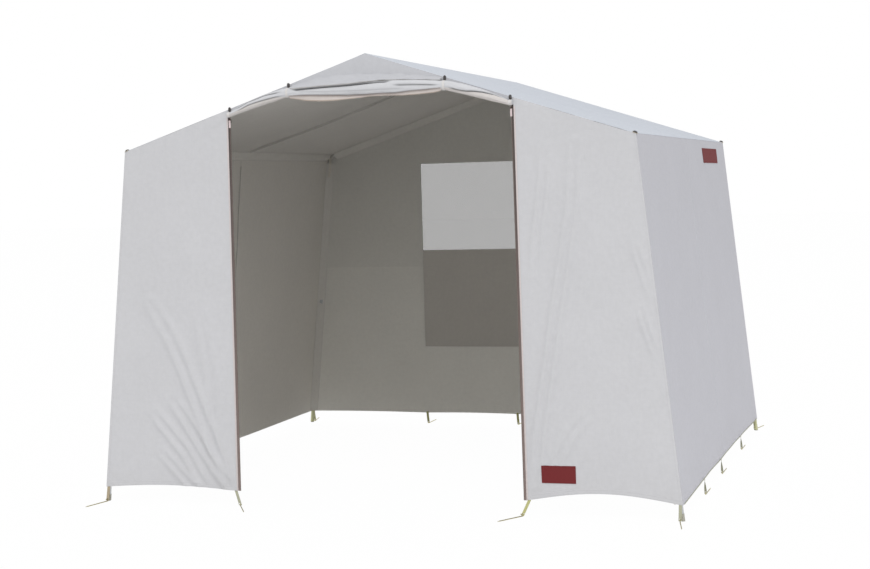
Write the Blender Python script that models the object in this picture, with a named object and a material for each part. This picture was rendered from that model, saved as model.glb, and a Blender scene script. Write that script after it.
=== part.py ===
# Kitchen tent: a ridge-roofed canvas shelter over a steel tube frame, with its door rolled up.
# Units are metres and +Z is up. The origin is on the ground at the middle of the plan, and the
# door faces -Y. Heights are measured from the ground.

from math import atan2, ceil, cos, exp, pi, radians, sin, sqrt, tan

import bmesh
import bpy
from mathutils import Matrix, Vector

# Outline of the canvas, on its outer face
EAVE_HEIGHT = 1.800
EAVE_HALF = 1.315
BASE_HALF = 1.507
RIDGE_HEIGHT = 2.232
DEPTH = 2.825
HEM_HEIGHT = 0.075
CLOTH = 0.0012
GAP = 0.0003
ROOF_SAG = 0.012
WALL_SAG = 0.010
ROOF_STEP = 0.32
WALL_ROW = 0.24
SIDE_HEM_RISE = 0.010
SIDE_HEM_BAYS = 4
COLUMNS_A_BAY = 3

# Front panels, door edges and the gable piece over the door
DOOR_HALF_EAVE = 0.7365
DOOR_HALF_FOOT = 0.751
LEFT_HEM_RISE = 0.018
RIGHT_HEM_RISE = 0.042
FRONT_COLUMN = 0.055
FRONT_ROW = 0.140
FOLD_MARGIN = 0.045
GABLE_BAND = 0.034
GABLE_FLAT_HALF = 0.397

# Main folds of the front panels: start (x, z), end (x, z), width and height of each
RIGHT_FOLDS = (
    ((0.88, 1.69), (0.80, 0.34), 0.034, 0.012),
    ((1.02, 1.64), (0.84, 0.30), 0.042, 0.014),
    ((1.09, 0.62), (0.93, 0.10), 0.045, 0.010),
    ((1.31, 1.36), (1.24, 0.86), 0.036, 0.007),
)
LEFT_FOLDS = (
    ((-0.79, 0.08), (-1.21, 1.00), 0.042, 0.012),
    ((-0.82, 0.08), (-1.13, 0.62), 0.036, 0.011),
    ((-0.92, 0.06), (-1.26, 0.42), 0.040, 0.009),
    ((-0.80, 1.90), (-0.94, 1.50), 0.034, 0.006),
)

# Rear window, its clear pane and the blind that hangs under it
WINDOW_HALF = 0.668
WINDOW_TOP = 1.727
WINDOW_SILL = 1.158
PANE = 0.0008
PANE_SEAM = 0.015
BLIND_DROP = 0.635
BLIND_BEAD = 0.003
BLIND_HEM = 0.018
BLIND_HEM_THICK = 0.0028
BLIND_HINGE_DROP = 0.004

# Webbing loops on the hem, and the steel pegs hooked through them
PEG_RADIUS = 0.0025
PEG_LENGTH = 0.170
PEG_RETURN = 0.012
PEG_POINT = 0.016
PEG_CLEAR = 0.0012
LOOP_BAR = 0.0044
LOOP_SLOT_HALF = 0.0042
LOOP_SIDE = 0.0034
LOOP_LEAN = 0.018
LOOP_INSET = 0.013
LOOP_MARGIN = 0.002
DOOR_LOOP_SIDESTEP = 0.030
CORNER_PEG_TURN = radians(12.0)
DOOR_PEG_TURN = radians(30.0)

# Steel tube frame and its moulded connectors
TUBE_RADIUS = 0.011
TUBE_WALL = 0.001
STUB = 0.035
SPIGOT = 0.060
SPIGOT_PLAY = 0.0005
SPIGOT_CHAMFER = 0.002
ROUND_SIDES = 16
SPIKE_RADIUS = 0.0035
EYELET_CLEAR = 0.0009
CAP_RADIUS = 0.010
CAP_HEIGHT = 0.008

# Telescopic legs: the lower tube slides in the upper one, and a wing screw clamps it
UPPER_LEG = 0.960
LEG_OVERLAP = 0.260
LEG_PLAY = 0.0005
FOOT_SLEEVE = 0.030
FOOT_SOLE = 0.004
FOOT_CHAMFER = 0.001
NUT_ACROSS = 0.013
NUT_TOP = 0.019
NUT_SEAT = 0.0075
NUT_FROM_END = 0.022
SCREW_RADIUS = 0.0037
SCREW_PLAY = 0.0004
HUB_RADIUS = 0.006
HUB_LENGTH = 0.008
WING_HALF = 0.015
WING_RISE = 0.012
WING_THICK = 0.003

# Rolled-up door, its four straps and their toggles
TIE_INNER = 0.402
TIE_OUTER = 0.722
ROLL_END_MARGIN = 0.003
TIE_UNDER_ROOF = 0.005
ROLL_TALL_INNER = 0.045
ROLL_TALL_OUTER = 0.023
ROLL_SAG = 0.007
ROLL_RISE_INNER = 0.016
ROLL_RISE_OUTER = 0.014
ROLL_DEEP = 0.025
ROLL_DEEP_INNER = 0.018
ROLL_DEEP_OUTER = 0.012
ROLL_GROOVE = 0.16
ROLL_POINTS = 16
ROLL_RING_STEP = 0.045
STRAP_HALF = 0.006
STRAP_EASE = 0.0005
STRAP_SLOT_HALF = 0.0022
STRAP_SLOT_TALL = 0.004
STRAP_TOP = 0.0065
TOGGLE_HALF = 0.012
TOGGLE_RADIUS = 0.004
TOGGLE_WAIST = 0.0032
TOGGLE_CLEAR = 0.0026
STEM_RADIUS = 0.0015
SMALL_SIDES = 10

# Door zips: tape, chain, slider and pull, placed from the door's edge
TAPE_LAP = 0.014
TAPE_REACH = 0.014
TAPE = 0.0010
CHAIN_WIDE = 0.004
CHAIN_PROUD = 0.0008
SLIDER_PLATE = 0.0015
SLIDER_WIDE = 0.0080
SLIDER_TALL = 0.018
SLIDER_UNDER_ROLL = 0.010
BRIDGE_HALF = 0.00085
BRIDGE_REACH = 0.0034
BRIDGE_POST = 0.0017
BRIDGE_SEAT = 0.0005
KNUCKLE_RADIUS = 0.0026
KNUCKLE_BORE = 0.0016
KNUCKLE_HALF = 0.0020
PULL_LENGTH = 0.034
PULL_HALF_THICK = 0.0006

# Values that follow from the sizes above
FRONT = -DEPTH / 2
REAR = DEPTH / 2
ROOF_PITCH = atan2(RIDGE_HEIGHT - EAVE_HEIGHT, EAVE_HALF)
WALL_LEAN = atan2(BASE_HALF - EAVE_HALF, EAVE_HEIGHT)
FRAME_INSET = CLOTH + GAP + TUBE_RADIUS
BORE = TUBE_RADIUS - TUBE_WALL
LOWER_RADIUS = BORE - LEG_PLAY
SIDES = {-1: "left", 1: "right"}
ENDS = {-1: "front", 1: "rear"}


# Materials

def finish(name, colour, roughness, metallic=0.0, alpha=1.0):
    made = bpy.data.materials.get(name)
    if made is None:
        made = bpy.data.materials.new(name)
        made.use_nodes = True
        shader = made.node_tree.nodes["Principled BSDF"]
        shader.inputs["Base Color"].default_value = (*colour, 1.0)
        shader.inputs["Roughness"].default_value = roughness
        shader.inputs["Metallic"].default_value = metallic
        shader.inputs["Alpha"].default_value = alpha
        made.diffuse_color = (*colour, alpha)
    return made


def canvas():
    return finish("canvas", (0.60, 0.60, 0.62), 0.90)


def window_film():
    return finish("window_film", (0.46, 0.46, 0.45), 0.35, alpha=0.55)


def zip_cloth():
    return finish("zip_tape", (0.10, 0.055, 0.050), 0.85)


def zip_metal():
    return finish("zip_metal", (0.34, 0.30, 0.28), 0.40, 1.0)


def pull_cord():
    return finish("pull_cord", (0.38, 0.24, 0.22), 0.80)


def webbing():
    return finish("webbing", (0.62, 0.60, 0.58), 0.88)


def toggle_plastic():
    return finish("toggle_plastic", (0.035, 0.030, 0.030), 0.45)


def galvanised():
    return finish("galvanised_steel", (0.58, 0.59, 0.60), 0.38, 1.0)


def moulded_nylon():
    return finish("moulded_nylon", (0.06, 0.06, 0.065), 0.55)


def foot_rubber():
    return finish("foot_rubber", (0.030, 0.030, 0.030), 0.80)


# Shapes

def add_object(name, points, faces, material, smooth=False):
    """A mesh object with its faces turned outward."""
    mesh = bpy.data.meshes.new(name)
    mesh.from_pydata([tuple(point) for point in points], [], faces)
    shell = bmesh.new()
    shell.from_mesh(mesh)
    bmesh.ops.recalc_face_normals(shell, faces=shell.faces)
    shell.to_mesh(mesh)
    shell.free()
    if smooth:
        mesh.shade_smooth()
        mesh.set_sharp_from_angle(angle=radians(40.0))
    mesh.materials.append(material)
    made = bpy.data.objects.new(name, mesh)
    bpy.context.scene.collection.objects.link(made)
    return made


def set_origin(thing, place):
    """Puts the object's origin at a place and leaves its shape where it is."""
    thing.data.transform(Matrix.Translation(-Vector(place)))
    thing.location = place


def combine(thing, operation, other):
    """Adds a Boolean with another object, which becomes a hidden guide."""
    step = thing.modifiers.new(other.name, "BOOLEAN")
    step.operation = operation
    step.solver = "EXACT"
    step.object = other
    other.hide_render = True
    other.display_type = "WIRE"


def across_axes(along):
    """Two directions square to an axis; an axis and its reverse share the same set of spokes."""
    guide = Vector((0, 0, 1)) if abs(along.y) > 0.9 else Vector((0, 1, 0))
    first = along.cross(guide).normalized()
    return first, along.cross(first).normalized()


def rings_to_faces(rings, sides, closed):
    """Faces between rings of points; a ring of one point is a tip on the axis."""
    faces = []
    pairs = list(zip(rings, rings[1:]))
    if closed:
        pairs.append((rings[-1], rings[0]))
    for near, far in pairs:
        for i in range(sides):
            j = (i + 1) % sides
            corners = [near[i % len(near)], near[j % len(near)], far[j % len(far)], far[i % len(far)]]
            faces.append(tuple(dict.fromkeys(corners)))
    return faces


def turned(name, profile, start, along, material, sides=ROUND_SIDES, closed=False, flat_first=False):
    """Turns a profile of (radius, distance) about an axis. A closed profile is a tube's wall.

    flat_first puts the middle of a facet where the first edge would be."""
    along = Vector(along).normalized()
    offset = 0.5 if flat_first else 0
    first, second = across_axes(along)
    points = []
    rings = []
    for radius, distance in profile:
        count = sides if radius > 0 else 1
        rings.append(range(len(points), len(points) + count))
        for i in range(count):
            turn = 2 * pi * (i + offset) / sides
            spoke = first * cos(turn) + second * sin(turn)
            points.append(Vector(start) + along * distance + spoke * radius)
    return add_object(name, points, rings_to_faces(rings, sides, closed), material, smooth=True)


def tube(name, start, end, material):
    """Open-ended tube between two points."""
    along = end - start
    profile = [(TUBE_RADIUS, 0), (TUBE_RADIUS, along.length), (BORE, along.length), (BORE, 0)]
    return turned(name, profile, start, along, material, closed=True)


def loft(name, near, far, material):
    """Solid between two outlines with as many points."""
    count = len(near)
    faces = [tuple(range(count)), tuple(range(2 * count - 1, count - 1, -1))]
    faces += [(i, (i + 1) % count, (i + 1) % count + count, i + count) for i in range(count)]
    return add_object(name, near + far, faces, material)


def prism(name, outline, offset, material):
    """A flat outline of points carried along an offset."""
    near = [Vector(point) for point in outline]
    return loft(name, near, [point + offset for point in near], material)


def bent_rod(name, path, radii, across, material, sides=8):
    """Rod along a path that lies in a plane, whose normal is across."""
    points = []
    rings = []
    for i, place in enumerate(path):
        ahead = path[min(i + 1, len(path) - 1)] - path[max(i - 1, 0)]
        lift = ahead.cross(across).normalized()
        rings.append(range(len(points), len(points) + sides))
        for k in range(sides):
            turn = 2 * pi * k / sides
            points.append(place + (across * cos(turn) + lift * sin(turn)) * radii[i])
    faces = rings_to_faces(rings, sides, False) + [tuple(rings[0]), tuple(rings[-1])]
    return add_object(name, points, faces, material, smooth=True)


def spread(stations, step):
    """The stations, with each stretch longer than step divided evenly."""
    places = [stations[0]]
    for low, high in zip(stations, stations[1:]):
        count = max(1, ceil((high - low) / step - 1e-9))
        places += [low + (high - low) * k / count for k in range(1, count + 1)]
    return places


def mix(low, high, share):
    return low + (high - low) * share


def ramp(distance, width):
    """Rises smoothly from 0 to 1 over a width."""
    share = min(max(distance / width, 0.0), 1.0)
    return share * share * (3 - 2 * share)


class Panel:
    """One face of a sheet of cloth, as points and the faces between them."""

    def __init__(self):
        self.points = []
        self.faces = []

    def point(self, place):
        self.points.append(Vector(place))
        return len(self.points) - 1

    def grid(self, columns, rows, place, hole=None, hem=None):
        """Faces over columns and rows. hem gives the loop points under a column's lowest face."""
        net = [[self.point(place(column, row)) for row in rows] for column in columns]
        for i in range(len(columns) - 1):
            for j in range(len(rows) - 1):
                if hole and hole(i, j):
                    continue
                loop = hem.get(i, []) if hem and j == 0 else []
                foot = [net[i][j]] + loop + [net[i + 1][j]]
                self.faces.append(tuple(foot + [net[i + 1][j + 1], net[i][j + 1]]))

    def solid(self, name, inward, material, smooth=True):
        """Closes the face into a solid: inward is one offset for all points, or one for each.

        Each face is a fan from its last point, front and back alike, so that the cloth keeps
        its thickness where it is curved."""
        count = len(self.points)
        offsets = [inward] * count if isinstance(inward, Vector) else inward
        back = [point + offset for point, offset in zip(self.points, offsets)]
        fans = [(face[-1], a, b) for face in self.faces for a, b in zip(face, face[1:-1])]
        edges = [edge for face in self.faces for edge in zip(face, face[1:] + face[:1])]
        used = set(edges)
        rim = [(b, a, a + count, b + count) for a, b in edges if (b, a) not in used]
        faces = fans + [tuple(i + count for i in reversed(fan)) for fan in fans] + rim
        return add_object(name, self.points + back, faces, material, smooth)


# Lines that the canvas, the frame and the fittings share

def wall_x(height, inset=0.0):
    """Half width of the side wall's outer face at a height, less an inset square to it."""
    return BASE_HALF - height * tan(WALL_LEAN) - inset / cos(WALL_LEAN)


def roof_z(x, inset=0.0):
    """Height of the roof's outer face over x, less an inset square to it."""
    return RIDGE_HEIGHT - abs(x) * tan(ROOF_PITCH) - inset / cos(ROOF_PITCH)


def under_roof(start, slope, inset=CLOTH + GAP):
    """Height at which the line x = start + slope * height reaches the roof's inset face."""
    return (roof_z(0, inset) - start * tan(ROOF_PITCH)) / (1 + slope * tan(ROOF_PITCH))


def door_x(height):
    """Half width of the doorway at a height."""
    share = (height - HEM_HEIGHT) / (EAVE_HEIGHT - HEM_HEIGHT)
    return mix(DOOR_HALF_FOOT, DOOR_HALF_EAVE, share)


def door_slope():
    return (DOOR_HALF_EAVE - DOOR_HALF_FOOT) / (EAVE_HEIGHT - HEM_HEIGHT)


def eave_node(side, end):
    """Where the axes of leg, rafter and eave pole meet."""
    height = under_roof(wall_x(0, FRAME_INSET), -tan(WALL_LEAN), FRAME_INSET)
    return Vector((side * wall_x(height, FRAME_INSET), end * (REAR - FRAME_INSET), height))


def apex_node(end):
    return Vector((0, end * (REAR - FRAME_INSET), roof_z(0, FRAME_INSET)))


def leg_axis(side):
    """Direction of a leg, downward."""
    return Vector((side * sin(WALL_LEAN), 0, -cos(WALL_LEAN)))


def rafter_axis(side):
    """Direction of a rafter, from eave to ridge."""
    return Vector((-side * cos(ROOF_PITCH), 0, sin(ROOF_PITCH)))


def wall_inward(side):
    return Vector((-side * cos(WALL_LEAN), 0, -sin(WALL_LEAN)))


def roof_inward(side):
    return Vector((-side * sin(ROOF_PITCH), 0, -cos(ROOF_PITCH)))


# Canvas

def fold_depth(x, height, folds):
    """How far the main folds lift the cloth at a point of a front panel."""
    total = 0.0
    for start, end, width, rise in folds:
        run = Vector(end) - Vector(start)
        way = Vector((x, height)) - Vector(start)
        share = way.dot(run) / run.length_squared
        aside = (way - run * share).length / width
        if 0 < share < 1:
            total += rise * sqrt(sin(pi * share)) * exp(-aside * aside)
    return total


def bar_foot():
    """Height of the lower edge of a loop's bar, just over a peg that lies on the ground."""
    return 2 * PEG_RADIUS + 2 * GAP


def hem_loop(panel, hem_point, lean):
    """Adds a webbing loop below the hem and returns its upper points.

    hem_point gives the hem's place at a distance aside from the loop's middle."""
    spots = (-LOOP_SLOT_HALF - LOOP_SIDE, -LOOP_SLOT_HALF, LOOP_SLOT_HALF, LOOP_SLOT_HALF + LOOP_SIDE)
    bar_top = bar_foot() + LOOP_BAR
    heights = (bar_top + 2 * PEG_RADIUS + PEG_CLEAR, bar_top, bar_foot())
    net = []
    for spot in spots:
        top = Vector(hem_point(spot))
        below = [Vector((top.x, top.y, height)) + lean for height in heights]
        net.append([panel.point(place) for place in [top] + below])
    for i in range(3):
        for j in range(3):
            if (i, j) != (1, 1):
                panel.faces.append((net[i][j + 1], net[i + 1][j + 1], net[i + 1][j], net[i][j]))
    return [column[0] for column in net]


def loop_cell():
    """Width of the hem cell that holds a loop, measured from the panel's edge."""
    return LOOP_INSET + LOOP_SLOT_HALF + LOOP_SIDE + LOOP_MARGIN


def front_wall(side):
    folds, hem_rise = (RIGHT_FOLDS, RIGHT_HEM_RISE) if side > 0 else (LEFT_FOLDS, LEFT_HEM_RISE)
    hem_width = wall_x(HEM_HEIGHT) - door_x(HEM_HEIGHT)

    def place(share, rise):
        start = mix(door_x(0), wall_x(0), share)
        slope = mix(door_slope(), -tan(WALL_LEAN), share)
        top = under_roof(start, slope)
        height = mix(HEM_HEIGHT + hem_rise * sin(pi * share), top, rise)
        x = start + slope * height
        edge = min(x - door_x(height), wall_x(height) - x, top - height)
        lift = fold_depth(side * x, height, folds) * ramp(edge, FOLD_MARGIN)
        return Vector((side * x, FRONT - lift, height))

    panel = Panel()
    cell = loop_cell() / hem_width
    columns = spread([0, cell, 1 - cell, 1], FRONT_COLUMN / hem_width)
    rows = spread([0, 1], FRONT_ROW / (EAVE_HEIGHT - HEM_HEIGHT))
    inset = LOOP_INSET / hem_width
    sidestep = Vector((-side * DOOR_LOOP_SIDESTEP, -LOOP_LEAN, 0))
    at_door = hem_loop(panel, lambda aside: place(inset + aside / hem_width, 0), sidestep)
    lean = Vector((0, -LOOP_LEAN, 0))
    at_corner = hem_loop(panel, lambda aside: place(1 - inset + aside / hem_width, 0), lean)
    panel.grid(columns, rows, place, hem={0: at_door, len(columns) - 2: at_corner})
    panel.solid("front_%s_wall" % SIDES[side], Vector((0, CLOTH, 0)), canvas())


def side_wall(side):
    corner = CLOTH + GAP
    top = under_roof(wall_x(0), -tan(WALL_LEAN))
    free = 2 * TUBE_RADIUS

    def place(share, rise):
        y = mix(FRONT + corner, REAR - corner, share)
        scallop = SIDE_HEM_RISE * abs(sin(pi * SIDE_HEM_BAYS * share))
        height = mix(HEM_HEIGHT + scallop, top, rise)
        edge = min(y - FRONT, REAR - y, top - height) - free
        sag = WALL_SAG * ramp(edge, EAVE_HEIGHT / 2)
        outer = Vector((side * wall_x(height), y, height))
        return outer + wall_inward(side) * sag

    bays = SIDE_HEM_BAYS * COLUMNS_A_BAY
    columns = [k / bays for k in range(bays + 1)]
    rows = spread([0, 1], WALL_ROW / (top - HEM_HEIGHT))
    panel = Panel()
    panel.grid(columns, rows, place)
    panel.solid("%s_wall" % SIDES[side], wall_inward(side) * CLOTH, canvas())


def rear_wall():
    """Rear wall with its window opening. Columns run upright over the window's width."""

    def column_line(column):
        beyond = max(abs(column) - 1, 0)
        inner = min(abs(column), 1) * WINDOW_HALF
        return inner + beyond * (wall_x(0) - WINDOW_HALF), -beyond * tan(WALL_LEAN)

    def place(column, row):
        start, slope = column_line(column)
        hem = HEM_HEIGHT + SIDE_HEM_RISE * abs(sin(pi * column))
        top = under_roof(start, slope)
        share = min(top / under_roof(WINDOW_HALF, 0), 1)
        levels = [hem, WINDOW_SILL * share, WINDOW_TOP * share, top]
        level = min(int(row), 2)
        height = mix(levels[level], levels[level + 1], row - level)
        return Vector(((start + slope * height) * (-1 if column < 0 else 1), REAR, height))

    panel = Panel()
    margin = wall_x(HEM_HEIGHT) - WINDOW_HALF
    cell = loop_cell() / margin
    inset = LOOP_INSET / margin
    columns = spread([-2, cell - 2, -1, 0, 1, 2 - cell, 2], 1 / 3)
    rows = spread([0, 1, 2, 3], 1 / 3)
    lean = Vector((0, LOOP_LEAN, 0))
    left = hem_loop(panel, lambda aside: place(inset - 2 + aside / margin, 0), lean)
    right = hem_loop(panel, lambda aside: place(2 - inset + aside / margin, 0), lean)

    def in_window(i, j):
        return abs(columns[i] + columns[i + 1]) < 2 and 1 <= rows[j] + 1e-6 and rows[j + 1] <= 2 + 1e-6

    panel.grid(columns, rows, place, hole=in_window, hem={0: left, len(columns) - 2: right})
    panel.solid("rear_wall", Vector((0, -CLOTH, 0)), canvas())


def roof(side):
    """One slope of the roof, with an eyelet near each end of the eave for the frame's spikes."""
    length = (EAVE_HALF - GAP / 2) / cos(ROOF_PITCH)
    eave = Vector((side * EAVE_HALF, 0, EAVE_HEIGHT))
    eyelet = (eave_node(side, -1) - eave).dot(rafter_axis(side))
    half = SPIKE_RADIUS + EYELET_CLEAR
    free = 2 * FRAME_INSET

    def place(up, along):
        edge = min(up, length - up, along, DEPTH - along) - free
        sag = ROOF_SAG * ramp(edge, length / 2 - free)
        outer = eave + rafter_axis(side) * up + roof_inward(side) * sag
        return Vector((outer.x, FRONT + along, outer.z))

    columns = spread([0, eyelet - half, eyelet + half, free, length - free, length], ROOF_STEP)
    ends = [FRAME_INSET - half, FRAME_INSET + half, free]
    rows = spread([0] + ends + [DEPTH - y for y in reversed(ends)] + [DEPTH], ROOF_STEP)
    panel = Panel()
    panel.grid(columns, rows, place, hole=lambda i, j: i == 1 and j in (1, len(rows) - 3))
    mitre = Vector((0, 0, -CLOTH / cos(ROOF_PITCH)))
    offsets = [roof_inward(side) * CLOTH] * len(panel.points)
    offsets[-len(rows):] = [mitre] * len(rows)
    panel.solid("%s_roof" % SIDES[side], offsets, canvas())


def gable_top():
    """Piece of canvas over the door, between the roof's slopes."""
    foot = roof_z(GABLE_FLAT_HALF, CLOTH + GAP) - GABLE_BAND
    kink = GABLE_FLAT_HALF / door_x(foot)
    slope = door_slope()

    def place(share, rise):
        start = abs(share) * (door_x(0) - GAP)
        top = under_roof(start, abs(share) * slope)
        height = mix(min(foot, top - GABLE_BAND), top, rise)
        x = start + abs(share) * slope * height
        return Vector((x if share > 0 else -x, FRONT, height))

    panel = Panel()
    columns = spread([-1, -kink, 0, kink, 1], 0.25)
    panel.grid(columns, [0, 1], place)
    panel.solid("gable_top", Vector((0, CLOTH, 0)), canvas())


def window_pane():
    """Clear pane, sewn on inside the window opening."""
    half = WINDOW_HALF + PANE_SEAM
    y = REAR - CLOTH - GAP
    low, high = WINDOW_SILL - PANE_SEAM, WINDOW_TOP + PANE_SEAM
    panel = Panel()
    panel.grid([-half, 0, half], [low, (low + high) / 2, high], lambda x, z: (x, y, z))
    panel.solid("window_pane", Vector((0, -PANE, 0)), window_film())


def blind_hinge():
    y = REAR - CLOTH - GAP - PANE - GAP - BLIND_BEAD
    return Vector((0, y, WINDOW_SILL - BLIND_HINGE_DROP))


def window_blind():
    """Canvas blind: a beaded upper edge, the cloth, and a thicker lower hem."""
    hinge = blind_hinge()
    half = CLOTH / 2
    foot = hinge.z - BLIND_DROP
    neck = atan2(half, sqrt(BLIND_BEAD ** 2 - half ** 2))
    turns = [mix(neck, 2 * pi - neck, k / 12) for k in range(13)]
    bead = [(BLIND_BEAD * sin(turn), hinge.z - BLIND_BEAD * cos(turn)) for turn in turns]
    thick = BLIND_HEM_THICK / 2
    hem = [(-half, foot + BLIND_HEM), (-thick, foot + BLIND_HEM), (-thick, foot)]
    hem += [(-y, z) for y, z in reversed(hem)]
    outline = [(-WINDOW_HALF, hinge.y + y, z) for y, z in bead + hem]
    blind = prism("window_blind", outline, Vector((2 * WINDOW_HALF, 0, 0)), canvas())
    set_origin(blind, hinge)


# Rolled-up door and its ties

def toggle_height(tie):
    return roof_z(tie) - TIE_UNDER_ROOF


def tie_top(tie):
    """Height of the top of the roll under a tie."""
    return toggle_height(tie) - TOGGLE_HALF - TOGGLE_CLEAR


def roll_section(x):
    """Foot, top, depth and fullness of the rolled door at x."""
    level = STRAP_HALF + STRAP_EASE
    inner = (tie_top(TIE_INNER), ROLL_TALL_INNER, ROLL_DEEP_INNER)
    outer = (tie_top(TIE_OUTER), ROLL_TALL_OUTER, ROLL_DEEP_OUTER)
    reach = abs(x)
    if reach <= TIE_INNER - level:
        share = 0.5 + 0.5 * x / (TIE_INNER - level)
        start, end, rise, sag = inner, inner, ROLL_RISE_INNER, ROLL_SAG
    else:
        span = TIE_OUTER - TIE_INNER - 2 * level
        share = min(max((reach - TIE_INNER - level) / span, 0), 1)
        start, end, rise, sag = inner, outer, ROLL_RISE_OUTER, 0
    full = max(sin(pi * share), 0) ** 0.7
    top, tall, deep = (mix(low, high, share) for low, high in zip(start, end))
    return top - tall - sag * full, top + rise * full, mix(deep, ROLL_DEEP, full), full


def section_turns():
    return [2 * pi * k / ROLL_POINTS for k in range(ROLL_POINTS)]


def door_roll():
    level = STRAP_HALF + STRAP_EASE
    end = door_x(tie_top(TIE_OUTER)) - ROLL_END_MARGIN
    marks = [TIE_INNER - level, TIE_INNER + level, TIE_OUTER - level, end]
    stations = spread([-mark for mark in reversed(marks)] + marks, ROLL_RING_STEP)
    points = []
    rings = []
    for x in stations:
        foot, top, deep, full = roll_section(x)
        middle, tall = (foot + top) / 2, (top - foot) / 2
        rings.append(range(len(points), len(points) + ROLL_POINTS))
        for turn in section_turns():
            aside = (turn + pi) % (2 * pi) - pi
            upper = exp(-((aside - 0.62) / 0.26) ** 2)
            lower = exp(-((aside + 0.50) / 0.24) ** 2)
            size = 1 - ROLL_GROOVE * full * (upper + 0.8 * lower)
            y = FRONT - GAP - deep - deep * size * cos(turn)
            points.append(Vector((x, y, middle + tall * size * sin(turn))))
    faces = rings_to_faces(rings, ROLL_POINTS, False) + [tuple(rings[0]), tuple(rings[-1])]
    add_object("door_roll", points, faces, canvas(), smooth=True)


def tie_strap(name, side, tie):
    """Strap from its toggle, over the front of the roll and under it."""
    foot, top, deep, _ = roll_section(tie)
    middle, tall = (foot + top) / 2, (top - foot) / 2
    toggle = toggle_height(tie)
    face = FRONT - GAP - CLOTH
    slot = (STRAP_SLOT_TALL, -STRAP_SLOT_TALL)
    path = [(face, toggle + height) for height in (STRAP_TOP, *slot)]
    offsets = [Vector((0, CLOTH, 0))] * 3
    path.append((face, top + GAP + CLOTH))
    offsets.append(Vector((0, CLOTH, -CLOTH)))
    quarter = ROLL_POINTS // 4
    for k in range(quarter, -quarter - 2, -1):
        turn = 2 * pi * k / ROLL_POINTS
        out = Vector((0, -cos(turn) / deep, sin(turn) / tall)).normalized()
        rim = Vector((0, FRONT - GAP - deep - deep * cos(turn), middle + tall * sin(turn)))
        place = rim + out * (GAP + CLOTH)
        path.append((place.y, place.z))
        offsets.append(-out * CLOTH)
    columns = [-STRAP_HALF, -STRAP_SLOT_HALF, STRAP_SLOT_HALF, STRAP_HALF]
    panel = Panel()
    rows = range(len(path))
    middle_x = side * tie
    panel.grid(columns, rows, lambda aside, k: (middle_x + aside, *path[k]), hole=lambda i, j: i == j == 1)
    panel.solid(name, offsets * len(columns), webbing())


def toggle_centre(side, tie):
    y = FRONT - GAP - CLOTH - GAP - TOGGLE_RADIUS
    return Vector((side * tie, y, toggle_height(tie)))


def toggle(name, side, tie):
    """Barrel that stands in front of the strap's slot on a short stem."""
    centre = toggle_centre(side, tie)
    chamfer = TOGGLE_RADIUS - TOGGLE_WAIST
    profile = [
        (0, -TOGGLE_HALF),
        (TOGGLE_WAIST, -TOGGLE_HALF),
        (TOGGLE_RADIUS, chamfer - TOGGLE_HALF),
        (TOGGLE_RADIUS, -TOGGLE_HALF / 2),
        (TOGGLE_WAIST, 0),
        (TOGGLE_RADIUS, TOGGLE_HALF / 2),
        (TOGGLE_RADIUS, TOGGLE_HALF - chamfer),
        (TOGGLE_WAIST, TOGGLE_HALF),
        (0, TOGGLE_HALF),
    ]
    barrel = turned(name, profile, centre, (0, 0, 1), toggle_plastic(), SMALL_SIDES)
    length = FRONT - GAP - centre.y
    stem_profile = [(0, 0), (STEM_RADIUS, 0), (STEM_RADIUS, length), (0, length)]
    stem = turned(name + "_stem", stem_profile, centre, (0, 1, 0), toggle_plastic(), 8)
    combine(barrel, "UNION", stem)
    set_origin(barrel, centre)


# Door zips

def edge_outline(side, spots, height_at):
    """Places (aside from the door's edge, y) at the heights that height_at gives."""
    places = []
    for aside, y in spots:
        height = height_at(aside)
        places.append(Vector((side * (door_x(height) + aside), y, height)))
    return places


def tape_face():
    """The tape's outer face, just inside the canvas."""
    return FRONT + CLOTH + GAP


def zip_tape(side):
    front, back = tape_face(), tape_face() + TAPE
    chain = CHAIN_WIDE - TAPE_REACH
    spots = [
        (TAPE_LAP, front), (TAPE_LAP, back), (chain, back), (chain, back + CHAIN_PROUD),
        (-TAPE_REACH, back + CHAIN_PROUD), (-TAPE_REACH, front - CHAIN_PROUD),
        (chain, front - CHAIN_PROUD), (chain, front),
    ]
    clear = CLOTH + GAP + GABLE_BAND * cos(ROOF_PITCH) + GAP
    near = edge_outline(side, spots, lambda aside: HEM_HEIGHT)
    far = edge_outline(side, spots, lambda aside: under_roof(door_x(0) + aside, door_slope(), clear))
    loft("zip_tape_%s" % SIDES[side], near, far, zip_cloth())


def slider_height():
    """Height of the slider's middle, under the end of the roll."""
    return tie_top(TIE_OUTER) - ROLL_TALL_OUTER - SLIDER_UNDER_ROLL - SLIDER_TALL / 2


def slider_face():
    return tape_face() - CHAIN_PROUD - GAP - SLIDER_PLATE


def pull_hinge(side):
    height = slider_height()
    aside = -TAPE_REACH - GAP - SLIDER_PLATE + (SLIDER_WIDE + GAP + SLIDER_PLATE) / 2
    return Vector((side * (door_x(height) + aside), slider_face() - BRIDGE_REACH, height))


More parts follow.
